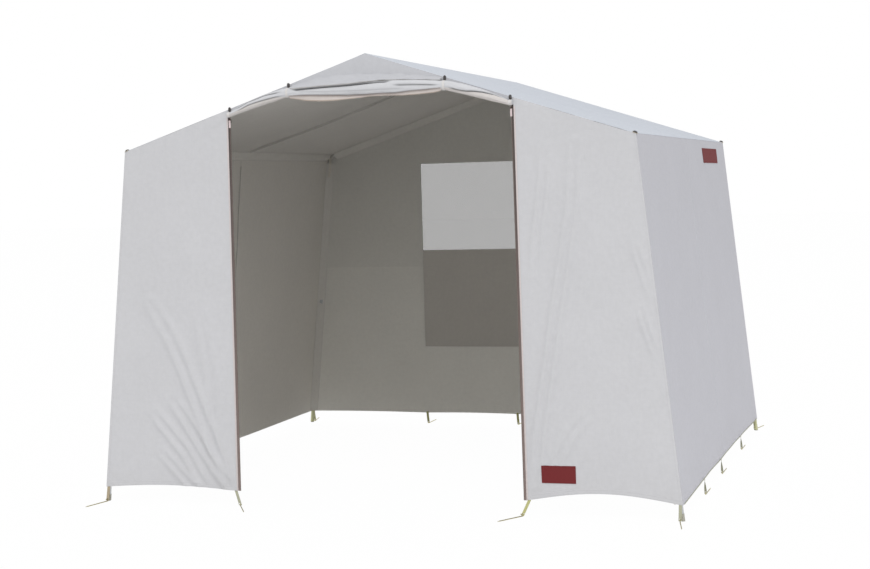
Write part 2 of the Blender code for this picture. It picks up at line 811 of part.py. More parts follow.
def zip_slider(side):
    """Slider that wraps the chain, with a bridge in front for its pull."""
    inner_front = tape_face() - CHAIN_PROUD - GAP
    inner_back = tape_face() + TAPE + CHAIN_PROUD + GAP
    front, back = slider_face(), inner_back + SLIDER_PLATE
    web = -TAPE_REACH - GAP
    lip = CHAIN_WIDE - TAPE_REACH + GAP
    open_edge = SLIDER_WIDE - TAPE_REACH
    spots = [
        (web - SLIDER_PLATE, front), (open_edge, front), (open_edge, tape_face() - GAP),
        (lip, tape_face() - GAP), (lip, inner_front), (web, inner_front), (web, inner_back),
        (lip, inner_back), (lip, tape_face() + TAPE + GAP), (open_edge, tape_face() + TAPE + GAP),
        (open_edge, back), (web - SLIDER_PLATE, back),
    ]
    middle = slider_height()
    near = edge_outline(side, spots, lambda aside: middle - SLIDER_TALL / 2)
    far = edge_outline(side, spots, lambda aside: middle + SLIDER_TALL / 2)
    slider = loft("zip_slider_%s" % SIDES[side], near, far, zip_metal())

    hinge = pull_hinge(side)
    gap_half = KNUCKLE_HALF + GAP
    post = gap_half + BRIDGE_POST
    seat = slider_face() + BRIDGE_SEAT
    bar_front, bar_back = hinge.y - BRIDGE_HALF, hinge.y + BRIDGE_HALF
    outline = [
        (-post, seat), (-post, bar_front), (post, bar_front), (post, seat),
        (gap_half, seat), (gap_half, bar_back), (-gap_half, bar_back), (-gap_half, seat),
    ]
    foot = hinge.z - BRIDGE_HALF
    staple = [Vector((hinge.x + x, y, foot)) for x, y in outline]
    bridge = prism(slider.name + "_bridge", staple, Vector((0, 0, 2 * BRIDGE_HALF)), zip_metal())
    combine(slider, "UNION", bridge)
    set_origin(slider, (side * door_x(middle), tape_face(), middle))


def zip_pull(side):
    """Pull tab that hangs from the slider's bridge by a knuckle."""
    hinge = pull_hinge(side)
    count = 12
    panel = Panel()

    def ring_point(radius, k):
        turn = 2 * pi * (k + 0.5) / count
        y = hinge.y + radius * sin(turn)
        return panel.point((hinge.x - KNUCKLE_HALF, y, hinge.z - radius * cos(turn)))

    outer = [ring_point(KNUCKLE_RADIUS, k) for k in range(count)]
    inner = [ring_point(KNUCKLE_BORE, k) for k in range(count)]
    for k in range(count):
        after = (k + 1) % count
        panel.faces.append((outer[k], outer[after], inner[after], inner[k]))
    foot = hinge.z - PULL_LENGTH
    back, front = (hinge.y + y for y in (PULL_HALF_THICK, -PULL_HALF_THICK))
    ends = [panel.point((hinge.x - KNUCKLE_HALF, y, foot)) for y in (front, back)]
    panel.faces.append((outer[0], outer[count - 1], *ends))
    pull = panel.solid("zip_pull_%s" % SIDES[side], Vector((2 * KNUCKLE_HALF, 0, 0)), pull_cord(), False)
    set_origin(pull, hinge)


# Frame

def arm_profile():
    """Section of one arm of a connector: a stub as thick as the tubes, then a spigot."""
    spigot = BORE - SPIGOT_PLAY
    tip = STUB + SPIGOT
    return [
        (TUBE_RADIUS, STUB), (spigot, STUB), (spigot, tip - SPIGOT_CHAMFER),
        (spigot - SPIGOT_CHAMFER, tip), (0, tip),
    ]


def elbow(name, node, first_arm, second_arm, material):
    """Round bend with two arms, mitred where their axes meet."""
    across = first_arm.cross(second_arm).normalized()
    lifts = (across.cross(first_arm), second_arm.cross(across))
    middle = (lifts[0] + lifts[1]).normalized()
    stretch = 1 / middle.dot(lifts[1])
    stations = [(first_arm, lifts[0], *step, 1) for step in reversed(arm_profile())]
    stations.append((first_arm, middle, TUBE_RADIUS, 0, stretch))
    stations += [(second_arm, lifts[1], *step, 1) for step in arm_profile()]
    points = []
    rings = []
    for arm, lift, radius, distance, widen in stations:
        count = ROUND_SIDES if radius > 0 else 1
        rings.append(range(len(points), len(points) + count))
        for i in range(count):
            turn = 2 * pi * i / ROUND_SIDES
            spoke = across * cos(turn) + lift * sin(turn) * widen
            points.append(node + arm * distance + spoke * radius)
    return add_object(name, points, rings_to_faces(rings, ROUND_SIDES, False), material, smooth=True)


def connector(name, node, first_arm, second_arm, pole_arm):
    """Moulded elbow between two tubes, with a third arm for a pole."""
    made = elbow(name, node, first_arm, second_arm, moulded_nylon())
    profile = [(0, 0), (TUBE_RADIUS, 0)] + arm_profile()
    pole = turned(name + "_pole_arm", profile, node, pole_arm, moulded_nylon(), flat_first=True)
    combine(made, "UNION", pole)
    return made


def eave_connector(side, end):
    """Corner of the frame. Its spike passes an eyelet in the roof and carries a round cap."""
    name = "%s_%s_eave_connector" % (ENDS[end], SIDES[side])
    node = eave_node(side, end)
    made = connector(name, node, leg_axis(side), rafter_axis(side), Vector((0, -end, 0)))
    seat = FRAME_INSET + GAP
    profile = [
        (0, 0), (SPIKE_RADIUS, 0), (SPIKE_RADIUS, seat), (CAP_RADIUS, seat),
        (0.94 * CAP_RADIUS, seat + 0.5 * CAP_HEIGHT), (0.6 * CAP_RADIUS, seat + 0.9 * CAP_HEIGHT),
        (0, seat + CAP_HEIGHT),
    ]
    out = -roof_inward(side)
    spike = turned(name + "_spike", profile, node, out, moulded_nylon(), 12, flat_first=True)
    combine(made, "UNION", spike)


def apex_connector(end):
    name = "%s_apex_connector" % ENDS[end]
    connector(name, apex_node(end), -rafter_axis(-1), -rafter_axis(1), Vector((0, -end, 0)))


def frame_tube(name, start, end):
    """Tube between two connectors."""
    along = (end - start).normalized() * (STUB + GAP)
    tube(name, start + along, end - along, galvanised())


def upper_end():
    """Distance from the eave node to the open end of the upper leg."""
    return STUB + GAP + UPPER_LEG


def screw_axis(side, end):
    """Direction of a leg's wing screw, outward from the tube and into the tent."""
    return (wall_inward(side) + Vector((0, -end, 0))).normalized()


def screw_foot(side, end):
    """Point on the leg's axis that the wing screw aims at."""
    return eave_node(side, end) + leg_axis(side) * (upper_end() - NUT_FROM_END)


def upper_leg(side, end):
    """Upper tube with a welded nut near its open end, drilled for the wing screw."""
    name = "%s_%s_upper_leg" % (ENDS[end], SIDES[side])
    axis = leg_axis(side)
    start = eave_node(side, end) + axis * (STUB + GAP)
    leg = tube(name, start, start + axis * UPPER_LEG, galvanised())
    across, aim = screw_axis(side, end), screw_foot(side, end)
    nut_radius = NUT_ACROSS / 2 / cos(pi / 6)
    profile = [(0, NUT_SEAT), (nut_radius, NUT_SEAT), (nut_radius, NUT_TOP), (0, NUT_TOP)]
    nut = turned(name + "_nut", profile, aim, across, galvanised(), 6, flat_first=True)
    # The nut's foot is hollowed to the middle of the tube's wall, where the weld holds it
    seat = BORE + TUBE_WALL / 2
    core = [(0, -NUT_ACROSS), (seat, -NUT_ACROSS), (seat, NUT_ACROSS), (0, NUT_ACROSS)]
    combine(nut, "DIFFERENCE", turned(name + "_nut_foot", core, aim, axis, galvanised()))
    combine(leg, "UNION", nut)
    hole_radius = SCREW_RADIUS + SCREW_PLAY
    low, high = BORE / 2, NUT_TOP + BORE / 2
    hole = [(0, low), (hole_radius, low), (hole_radius, high), (0, high)]
    drill = turned(name + "_hole", hole, aim, across, galvanised(), 12, flat_first=True)
    combine(leg, "DIFFERENCE", drill)


def wing_screw(side, end):
    """Screw that clamps the lower tube, with two wings to turn it by."""
    name = "%s_%s_wing_screw" % (ENDS[end], SIDES[side])
    across, aim = screw_axis(side, end), screw_foot(side, end)
    tip, seat = LOWER_RADIUS + GAP, NUT_TOP + GAP
    top = seat + HUB_LENGTH
    profile = [
        (0, tip), (SCREW_RADIUS, tip), (SCREW_RADIUS, seat), (HUB_RADIUS, seat),
        (HUB_RADIUS, top), (0, top),
    ]
    screw = turned(name, profile, aim, across, galvanised(), 12, flat_first=True)
    axis = leg_axis(side)
    thick = axis.cross(across).normalized() * WING_THICK
    low = seat + HUB_LENGTH / 4
    tall = low + WING_RISE
    wing = [
        (0, low), (WING_HALF * 0.7, low), (WING_HALF, (low + tall) / 2), (WING_HALF * 0.95, tall),
        (WING_HALF * 0.6, tall), (HUB_RADIUS * 0.7, top - HUB_LENGTH / 8),
    ]
    outline = wing + [(-w, s) for w, s in reversed(wing[1:])]
    places = [aim + axis * w + across * s - thick / 2 for w, s in outline]
    combine(screw, "UNION", prism(name + "_wings", places, thick, galvanised()))
    set_origin(screw, aim)


def sole_distance(side, end):
    """Distance along the leg's axis from the eave node to the ground."""
    return eave_node(side, end).z / cos(WALL_LEAN)


def lower_end(side, end):
    return sole_distance(side, end) - FOOT_SOLE - TUBE_RADIUS * tan(WALL_LEAN)


def lower_leg(side, end):
    """Lower tube, which telescopes in the upper one."""
    node, axis = eave_node(side, end), leg_axis(side)
    top = upper_end() - LEG_OVERLAP
    foot = lower_end(side, end)
    bore = LOWER_RADIUS - TUBE_WALL
    profile = [(LOWER_RADIUS, top), (LOWER_RADIUS, foot), (bore, foot), (bore, top)]
    name = "%s_%s_lower_leg" % (ENDS[end], SIDES[side])
    leg = turned(name, profile, node, axis, galvanised(), closed=True)
    set_origin(leg, node + axis * top)


def leg_foot(side, end):
    """Ferrule on the lower tube. Its sole is cut level with the ground."""
    node, axis = eave_node(side, end), leg_axis(side)
    first, second = across_axes(axis)
    seat = lower_end(side, end) + GAP
    rim = seat - FOOT_SLEEVE
    socket = LOWER_RADIUS + GAP
    # Each ring is a radius with either a distance along the leg or a height over the ground
    profile = [
        (0, seat, None), (socket, seat, None), (socket, rim, None), (TUBE_RADIUS, rim, None),
        (TUBE_RADIUS, None, FOOT_CHAMFER), (TUBE_RADIUS - FOOT_CHAMFER, None, 0), (0, None, 0),
    ]
    points = []
    rings = []
    for radius, distance, height in profile:
        count = ROUND_SIDES if radius > 0 else 1
        rings.append(range(len(points), len(points) + count))
        for i in range(count):
            turn = 2 * pi * i / ROUND_SIDES
            spoke = (first * cos(turn) + second * sin(turn)) * radius
            if distance is None:
                run = (node.z + spoke.z - height) / -axis.z
            else:
                run = distance
            points.append(node + axis * run + spoke)
    faces = rings_to_faces(rings, ROUND_SIDES, False)
    name = "%s_%s_foot" % (ENDS[end], SIDES[side])
    foot = add_object(name, points, faces, foot_rubber(), smooth=True)
    set_origin(foot, node + axis * sole_distance(side, end))


# Pegs

def peg(name, bar_middle, outward):
    """Round steel peg that lies on the ground, hooked round the bar of its loop."""
    slant = abs(outward.y)
    back = (CLOTH / 2 + PEG_RADIUS * sqrt(1 - slant * slant) + GAP) / slant
    low = GAP + PEG_RADIUS
    bend = PEG_RADIUS + GAP + LOOP_BAR / 2
    heel = Vector((bar_middle.x, bar_middle.y, 0)) - outward * back
    up = Vector((0, 0, 1))
    path = [
        heel + outward * PEG_LENGTH + up * low,
        heel + outward * (PEG_LENGTH - PEG_POINT) + up * low,
    ]
    radii = [PEG_RADIUS * 0.3, PEG_RADIUS]
    for k in range(9):
        turn = pi * k / 8
        path.append(heel - outward * bend * sin(turn) + up * (low + bend - bend * cos(turn)))
        radii.append(PEG_RADIUS)
    path.append(heel + outward * (back + PEG_RETURN) + up * (low + 2 * bend))
    radii.append(PEG_RADIUS)
    bent_rod(name, path, radii, outward.cross(up), galvanised())


def pegs():
    bar_y = REAR + LOOP_LEAN - CLOTH / 2
    corner_x = wall_x(HEM_HEIGHT) - LOOP_INSET
    door_loop_x = door_x(HEM_HEIGHT) + LOOP_INSET - DOOR_LOOP_SIDESTEP
    for side in SIDES:
        for end in ENDS:
            outward = Vector((side * sin(CORNER_PEG_TURN), end * cos(CORNER_PEG_TURN), 0))
            name = "%s_%s_peg" % (ENDS[end], SIDES[side])
            peg(name, Vector((side * corner_x, end * bar_y, 0)), outward)
        outward = Vector((-side * sin(DOOR_PEG_TURN), -cos(DOOR_PEG_TURN), 0))
        peg("door_%s_peg" % SIDES[side], Vector((side * door_loop_x, -bar_y, 0)), outward)


def build_canvas():
    for side in SIDES:
        roof(side)
        side_wall(side)
        front_wall(side)
    rear_wall()
    gable_top()
    window_pane()
    window_blind()
    door_roll()


def build_frame():
    for end in ENDS:
        apex_connector(end)
        for side in SIDES:
            place = (ENDS[end], SIDES[side])
            eave_connector(side, end)
            frame_tube("%s_%s_rafter" % place, eave_node(side, end), apex_node(end))
            upper_leg(side, end)
            wing_screw(side, end)
            lower_leg(side, end)
            leg_foot(side, end)
    frame_tube("ridge_pole", apex_node(-1), apex_node(1))
    for side in SIDES:
        frame_tube("%s_eave_pole" % SIDES[side], eave_node(side, -1), eave_node(side, 1))


def build_fittings():
    for side in SIDES:
        for name, tie in {"outer": TIE_OUTER, "inner": TIE_INNER}.items():
            tie_strap("tie_strap_%s_%s" % (name, SIDES[side]), side, tie)
            toggle("toggle_%s_%s" % (name, SIDES[side]), side, tie)
        zip_tape(side)
        zip_slider(side)
        zip_pull(side)
    pegs()


def main():
    for thing in list(bpy.data.objects):
        bpy.data.objects.remove(thing, do_unlink=True)
    build_canvas()
    build_frame()
    build_fittings()


main()
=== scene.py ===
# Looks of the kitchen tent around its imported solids: the canvas with its folds, hems and seams, the
# rolled-up door and its ties, the zips, the window and blind, the hem loops and pegs, and the finish
# of the steel frame. Units are metres and +Z is up. The door faces -Y.

from math import asin, atan2, ceil, cos, exp, pi, radians, sin, sqrt, tan

import bmesh
import bpy
import numpy as np
from mathutils import Matrix, Vector, noise


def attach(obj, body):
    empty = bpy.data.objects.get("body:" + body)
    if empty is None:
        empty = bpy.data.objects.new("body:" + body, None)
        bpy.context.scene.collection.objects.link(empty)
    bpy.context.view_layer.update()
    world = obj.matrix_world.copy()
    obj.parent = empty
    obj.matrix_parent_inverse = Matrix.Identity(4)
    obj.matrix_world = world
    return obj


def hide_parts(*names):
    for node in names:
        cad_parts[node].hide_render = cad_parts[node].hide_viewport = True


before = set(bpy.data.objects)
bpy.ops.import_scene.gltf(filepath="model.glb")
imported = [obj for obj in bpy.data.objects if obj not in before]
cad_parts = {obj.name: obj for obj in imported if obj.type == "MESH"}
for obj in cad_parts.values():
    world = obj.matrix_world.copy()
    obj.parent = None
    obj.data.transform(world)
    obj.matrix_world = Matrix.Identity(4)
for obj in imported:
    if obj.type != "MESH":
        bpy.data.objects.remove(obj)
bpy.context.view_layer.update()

# Sizes that the solids have
EAVE_HEIGHT = 1.800
EAVE_HALF = 1.315
BASE_HALF = 1.507
RIDGE_HEIGHT = 2.232
DEPTH = 2.825
HEM_HEIGHT = 0.075
CLOTH = 0.0012
GAP = 0.0003
ROOF_SAG = 0.012
WALL_SAG = 0.010
DOOR_HALF_EAVE = 0.7365
DOOR_HALF_FOOT = 0.751
LEFT_HEM_RISE = 0.018
RIGHT_HEM_RISE = 0.042
FOLD_MARGIN = 0.045
GABLE_BAND = 0.034
GABLE_FLAT_HALF = 0.397
WINDOW_HALF = 0.668
WINDOW_TOP = 1.727
WINDOW_SILL = 1.158
PANE = 0.0008
PANE_SEAM = 0.015
BLIND_DROP = 0.635
BLIND_BEAD = 0.003
BLIND_HINGE_DROP = 0.004
BLIND_HEM = 0.018
PEG_RADIUS = 0.0025
PEG_LENGTH = 0.170
PEG_RETURN = 0.012
PEG_POINT = 0.016
LOOP_BAR = 0.0044
LOOP_SLOT_HALF = 0.0042
LOOP_SIDE = 0.0034
LOOP_LEAN = 0.018
LOOP_INSET = 0.013
DOOR_LOOP_SIDESTEP = 0.030
TUBE_RADIUS = 0.011
STUB = 0.035
SCREW_DISTANCE = 0.9733
SPIKE_RADIUS = 0.0035
CAP_RADIUS = 0.010
CAP_HEIGHT = 0.008
EYELET_BORE = 0.0116
TIE_INNER = 0.402
TIE_OUTER = 0.722
TIE_UNDER_ROOF = 0.005
ROLL_END_MARGIN = 0.003
ROLL_TALL_INNER = 0.045
ROLL_TALL_OUTER = 0.023
ROLL_SAG = 0.007
ROLL_RISE_INNER = 0.016
ROLL_RISE_OUTER = 0.014
ROLL_DEEP = 0.025
ROLL_DEEP_INNER = 0.018
ROLL_DEEP_OUTER = 0.012
STRAP_HALF = 0.006
STRAP_EASE = 0.0005
TOGGLE_HALF = 0.012
TOGGLE_RADIUS = 0.004
TOGGLE_CLEAR = 0.0026
TOGGLE_OVAL = 1.95
TAPE_LAP = 0.014
TAPE_REACH = 0.014
TAPE = 0.0010
CHAIN_WIDE = 0.004
CHAIN_PROUD = 0.0008
SLIDER_PLATE = 0.0015
SLIDER_WIDE = 0.0080
BRIDGE_REACH = 0.0034
KNUCKLE_RADIUS = 0.0026
SLIDER_TALL = 0.018
SLIDER_UNDER_ROLL = 0.010
PULL_LENGTH = 0.034

FRONT = -DEPTH / 2
REAR = DEPTH / 2
ROOF_PITCH = atan2(RIDGE_HEIGHT - EAVE_HEIGHT, EAVE_HALF)
WALL_LEAN = atan2(BASE_HALF - EAVE_HALF, EAVE_HEIGHT)
FRAME_INSET = CLOTH + GAP + TUBE_RADIUS
SIDES = {-1: "left", 1: "right"}
ENDS = {-1: "front", 1: "rear"}

# Folds of the front panels: points (x, z) along each, then its height and half width
RIGHT_FOLDS = (
    (((0.79, 0.16), (0.801, 0.236), (0.832, 0.456), (0.885, 0.751), (0.917, 0.967), (0.962, 1.207),
      (1.006, 1.470), (1.025, 1.760)), 0.0125, 0.021),
    (((0.883, 1.740), (0.866, 1.537), (0.843, 1.386), (0.815, 1.160)), 0.0080, 0.019),
    (((0.890, 0.200), (0.913, 0.278), (0.974, 0.395), (1.070, 0.510)), 0.0070, 0.020),
    (((1.300, 1.280), (1.324, 1.204), (1.371, 1.053)), 0.0060, 0.014),
    (((1.320, 0.990), (1.343, 0.903), (1.391, 0.766)), 0.0070, 0.013),
    (((0.750, 1.972), (0.790, 1.963), (0.850, 1.945)), 0.0050, 0.008),
)
LEFT_FOLDS = (
    (((-0.785, 0.095), (-0.805, 0.132), (-0.850, 0.261), (-0.902, 0.391), (-0.967, 0.546), (-1.032, 0.716),
      (-1.098, 0.860), (-1.200, 1.020)), 0.0135, 0.026),
    (((-0.800, 0.105), (-0.840, 0.157), (-0.921, 0.273), (-1.029, 0.441), (-1.100, 0.535)), 0.0115, 0.023),
    (((-0.930, 0.095), (-0.955, 0.127), (-1.036, 0.270), (-1.160, 0.412), (-1.200, 0.460)), 0.0100, 0.022),
    (((-0.990, 0.085), (-1.014, 0.099), (-1.111, 0.202), (-1.170, 0.260)), 0.0080, 0.019),
    (((-0.860, 0.180), (-0.876, 0.313), (-0.877, 0.639), (-0.933, 1.015)), 0.0060, 0.026),
    (((-0.760, 1.970), (-0.800, 1.930), (-0.880, 1.900)), 0.0040, 0.009),
)

# Lines on the rolled door (x, z): the creases between its layers, and the lip of the gable's fold
ROLL_CREASES = (
    (((0.14, 2.071), (0.239, 2.069), (0.320, 2.065), (0.385, 2.060)), 0.28),
    (((0.415, 2.050), (0.438, 2.041), (0.478, 2.030), (0.517, 2.023), (0.556, 2.023), (0.596, 2.019),
      (0.634, 2.010), (0.673, 2.000), (0.712, 1.975)), 0.40),
    (((-0.715, 1.972), (-0.693, 1.987), (-0.649, 2.002), (-0.605, 2.024), (-0.562, 2.036), (-0.518, 2.051),
      (-0.475, 2.058), (-0.433, 2.064), (-0.415, 2.062)), 0.30),
    (((-0.680, 1.972), (-0.606, 2.004), (-0.562, 2.016), (-0.476, 2.034), (-0.415, 2.045)), 0.28),
    (((-0.36, 2.060), (-0.20, 2.052), (0.05, 2.050), (0.22, 2.052)), 0.07),
    (((-0.390, 2.073), (-0.337, 2.074), (-0.253, 2.078), (-0.169, 2.081), (-0.086, 2.083), (-0.004, 2.089),
      (0.078, 2.093), (0.150, 2.092)), 0.42),
    (((-0.375, 2.043), (-0.255, 2.039), (-0.130, 2.034), (-0.006, 2.031), (0.157, 2.033), (0.238, 2.038),
      (0.319, 2.041), (0.375, 2.045)), 0.10),
)
ROLL_EDGE = ((-0.720, 1.966), (-0.680, 1.975), (-0.606, 2.004), (-0.562, 2.016), (-0.476, 2.034),
             (-0.381, 2.042), (-0.255, 2.038), (-0.130, 2.033), (-0.047, 2.029), (-0.006, 2.030),
             (0.076, 2.033), (0.157, 2.032), (0.238, 2.038), (0.319, 2.041), (0.359, 2.044), (0.420, 2.047),
             (0.438, 2.041), (0.478, 2.030), (0.517, 2.023), (0.556, 2.021), (0.596, 2.016), (0.634, 2.007),
             (0.673, 1.997), (0.720, 1.972))
GABLE_LIP = ((-0.385, 2.078), (-0.337, 2.078), (-0.253, 2.082), (-0.169, 2.085), (-0.086, 2.087),
             (-0.004, 2.093), (0.078, 2.098), (0.159, 2.097), (0.200, 2.096), (0.385, 2.086))
GABLE_CREST = ((-0.385, 2.094), (-0.25, 2.125), (-0.095, 2.146), (0.070, 2.140), (0.192, 2.130),
               (0.272, 2.116), (0.352, 2.106), (0.385, 2.098))
LINER_FOOT = ((-0.392, 2.030), (-0.339, 2.022), (-0.297, 2.013), (-0.214, 2.008), (-0.131, 2.009),
              (-0.089, 2.013), (-0.048, 2.015), (-0.006, 2.019), (0.035, 2.022), (0.116, 2.022),
              (0.197, 2.019), (0.278, 2.021), (0.358, 2.026), (0.392, 2.033))

# Finer detail that only the cloth has
STEP = 0.030
FINE = 0.0004
FOLD_STEP = 0.009
HEM_WIDE = 0.020
SEAM_WIDE = 0.014
JOIN_WIDE = 0.024
SEAM_PROUD = 0.0006
HEM_STOPS = {-1: (-0.75, -0.16), 1: (-0.75, -0.16, 0.64)}
REAR_STOPS = {"left": -0.67, "middle": -0.05, "right": 0.67}
JOIN_HEIGHT = 1.050
SLEEVE_RADIUS = 0.0127
SLEEVE_FOOT = 0.030
GABLE_SLEEVE_FOOT = 0.0185
SLEEVE_EDGE = 0.004
SLEEVE_CLOTH = 0.0009
LOOP_TUCK = 0.008
SCREW_SLIT = 0.0105
SIDE_LOOP_TWIST = radians(90.0)
SIDE_LOOP_LEAN = -0.004
SIDE_LOOP_HALF = 0.0062
SIDE_SCALLOP = 0.0015
REAR_SCALLOP = 0.004
BLIND_SIDE_HEM = 0.015
BINDING_CLEAR = 0.0008
BINDING_LAP = 0.004
FRONT_PATCH = (0.912, 0.204)  # x and z of its middle
SIDE_PATCH = (0.80, 1.712)  # y and z of its middle
PATCH_TALL = 0.084
TIE_TAPE_WIDE = 0.017
DOOR_BINDING = 0.0076
ROOF_FLAP = 0.013
SIDE_FLAP = 0.005
PULL_WIDE = 0.010
THREAD_PITCH = 0.0012
SLUB = 0.05
STITCH_ROW = 0.70
STITCH_PITCH = 0.0045
STITCH_WIDE = 0.09
DUST_REACH = 0.30
DUST_TONE = (0.42, 0.37, 0.30)
RUBBED_TONE = (0.3, 0.3, 0.3)


# Shapes

def spread(stations, step):
    """The stations, with each stretch longer than step divided evenly."""
    places = [stations[0]]
    for low, high in zip(stations, stations[1:]):
        count = max(1, ceil((high - low) / step - 1e-9))
        places += [low + (high - low) * k / count for k in range(1, count + 1)]
    return places


def mix(low, high, share):
    return low + (high - low) * share


def ramp(distance, width):
    """Rises smoothly from 0 to 1 over a width."""
    share = min(max(distance / width, 0.0), 1.0)
    return share * share * (3 - 2 * share)


def bump(distance, width):
    return exp(-(distance / width) ** 2)


def along_line(x, line):
    """Height at x of a line given by its points (x, z)."""
    xs, zs = zip(*line)
    return float(np.interp(x, xs, zs))


def add_piece(name, points, faces, materials, body="base", slots=None, sharp=40.0):
    """A mesh piece with its faces turned outward, which rides on a body."""
    mesh = bpy.data.meshes.new(name)
    mesh.from_pydata([tuple(point) for point in points], [], faces)
    for material in materials:
        mesh.materials.append(material)
    if slots is not None:
        mesh.polygons.foreach_set("material_index", slots)
    shell = bmesh.new()
    shell.from_mesh(mesh)
    bmesh.ops.recalc_face_normals(shell, faces=shell.faces)
    shell.to_mesh(mesh)
    shell.free()
    mesh.shade_smooth()
    mesh.set_sharp_from_angle(angle=radians(sharp))
    piece = bpy.data.objects.new(name, mesh)
    bpy.context.scene.collection.objects.link(piece)
    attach(piece, body)
    return piece


def grid_normals(net, towards):
    """Unit normals of a grid of points, each on the side that towards points to."""
    along = np.gradient(net, axis=0)
    across = np.gradient(net, axis=1)
    normals = np.cross(along, across)
    normals /= np.maximum(np.linalg.norm(normals, axis=2, keepdims=True), 1e-12)
    side = np.sign((normals * np.array(towards)).sum(2, keepdims=True))
    return normals * np.where(side == 0, 1, side)


def cut_lengths(net):
    """Distances along a grid's columns and rows, as measured on the flat cloth."""
    over = np.linalg.norm(np.diff(net, axis=0), axis=2)
    up = np.linalg.norm(np.diff(net, axis=1), axis=2)
    first = np.zeros(net.shape[:2])
    second = np.zeros(net.shape[:2])
    first[1:] = np.cumsum(over, axis=0)
    second[:, 1:] = np.cumsum(up, axis=1)
    return first, second


def sewn_strips(lines, bands, first, second):
    """How far the doubled strips stand proud outside and inside, and where on them each point lies."""
    extra = np.zeros(first.shape)
    behind = np.zeros(first.shape)
    sewn = np.full((*first.shape, 2), 9.0)
    for axis, low, high, joined in bands:
        inside = (lines[axis] >= low - 1e-9) & (lines[axis] <= high + 1e-9)
        across = (2 * lines[axis] - low - high) / (high - low)
        if axis == "u":
            there, line, along = (inside, slice(None)), across[inside, None], second[inside]
        else:
            there, line, along = (slice(None), inside), across[None, inside], first[:, inside]
        extra[there] = SEAM_PROUD
        behind[there] = SEAM_PROUD * joined
        sewn[(*there, 0)] = line
        sewn[(*there, 1)] = along
    return extra, behind, sewn


def grid_faces(columns, rows, bands, hole):
    """Faces of a sheet's two sides and its rim, and the strip that each outer face lies in: 0 for
    plain cloth, 2 for a hem, 4 for a joined seam."""
    tall = len(rows)
    count = len(columns) * tall
    quads = []
    strips = []
    for i in range(len(columns) - 1):
        for j in range(tall - 1):
            if hole and hole(i, j):
                continue
            corner = i * tall + j
            quads.append((corner, corner + tall, corner + tall + 1, corner + 1))
            spot = {"u": (columns[i] + columns[i + 1]) / 2, "v": (rows[j] + rows[j + 1]) / 2}
            strips.append(max([0] + [4 if joined else 2 for axis, low, high, joined in bands
                                     if low < spot[axis] < high]))
    edges = [edge for quad in quads for edge in zip(quad, quad[1:] + quad[:1])]
    used = set(edges)
    rim = [(b, a, a + count, b + count) for a, b in edges if (b, a) not in used]
    return quads + [tuple(i + count for i in reversed(quad)) for quad in quads] + rim, strips


def cloth(name, columns, rows, place, towards, materials, thick=CLOTH, hole=None, bands=(),
          body="base", even=False):
    """A sheet over a grid: place(u, v) is its outer face and towards points to its inner face.

    bands are the doubled strips, as (axis, low, high, joined) in u or v. They stand proud of the
    outer face, and joined seams of both faces. materials are the outer and inner ones, then those of
    the hems, then those of the joined seams. even keeps the thickness along towards alone."""
    net = np.array([[tuple(place(u, v)) for v in rows] for u in columns])
    if even:
        aim = np.array(towards, float)
        normals = np.broadcast_to(aim / np.linalg.norm(aim, axis=-1, keepdims=True), net.shape)
    else:
        normals = grid_normals(net, towards)
    first, second = cut_lengths(net)
    lines = {"u": np.array(columns, float), "v": np.array(rows, float)}
    extra, behind, sewn = sewn_strips(lines, bands, first, second)
    outer = net - normals * extra[:, :, None]
    inner = net + normals * (thick + behind)[:, :, None]

    faces, strips = grid_faces(columns, rows, bands, hole)
    last = len(materials) - 1
    slots = [strip if strip < last else 0 for strip in strips]
    slots += [strip + 1 if strip < last else min(last, 1) for strip in strips]
    slots += [0] * (len(faces) - len(slots))
    points = np.concatenate([outer.reshape(-1, 3), inner.reshape(-1, 3)])
    piece = add_piece(name, points, faces, materials, body, slots)
    lay_map(piece, "cut", np.tile(np.stack([first.ravel(), second.ravel()], axis=1), (2, 1)))
    lay_map(piece, "sewn", np.tile(sewn.reshape(-1, 2), (2, 1)))
    return piece


def lay_map(piece, name, flat):
    """Keeps two numbers for each point, such as its place on the flat cloth, for the finish."""
    mesh = piece.data
    layer = mesh.uv_layers.new(name=name)
    corners = np.zeros(len(mesh.loops), np.int32)
    mesh.loops.foreach_get("vertex_index", corners)
    layer.data.foreach_set("uv", np.asarray(flat, np.float32)[corners].ravel())


def hemmed(low, high, hem, fine=FINE):
    """Places across a sheet: its two edges, and where the hem at each of them ends."""
    return [low, low + hem, low + hem + fine, high - hem - fine, high - hem, high]


def ways_in(path):
    """The ways in of such a path, for a cloth whose rows follow it."""
    return np.array([[tuple(way) for _, way in path]])


def rings_to_faces(rings, sides):
    faces = []
    for near, far in zip(rings, rings[1:]):
        for i in range(sides):
            j = (i + 1) % sides
            corners = (near[i % len(near)], near[j % len(near)], far[j % len(far)], far[i % len(far)])
            faces.append(tuple(dict.fromkeys(corners)))
    return faces


def rod_parts(path, radius, sides=10):
    """Points and faces of a round rod along a path. radius is one value, or one for each point."""
    radii = radius if hasattr(radius, "__len__") else [radius] * len(path)
    points = []
    rings = []
    lift = None
    for k, place in enumerate(path):
        ahead = (path[min(k + 1, len(path) - 1)] - path[max(k - 1, 0)]).normalized()
        if lift is None:
            guide = Vector((0, 0, 1)) if abs(ahead.z) < 0.9 else Vector((0, 1, 0))
            lift = guide
        lift = (lift - ahead * lift.dot(ahead)).normalized()
        side = ahead.cross(lift)
        rings.append(range(len(points), len(points) + sides))
        for i in range(sides):
            turn = 2 * pi * i / sides
            points.append(place + (lift * cos(turn) + side * sin(turn)) * radii[k])
    faces = rings_to_faces(rings, sides) + [tuple(reversed(rings[0])), tuple(rings[-1])]
    return points, faces


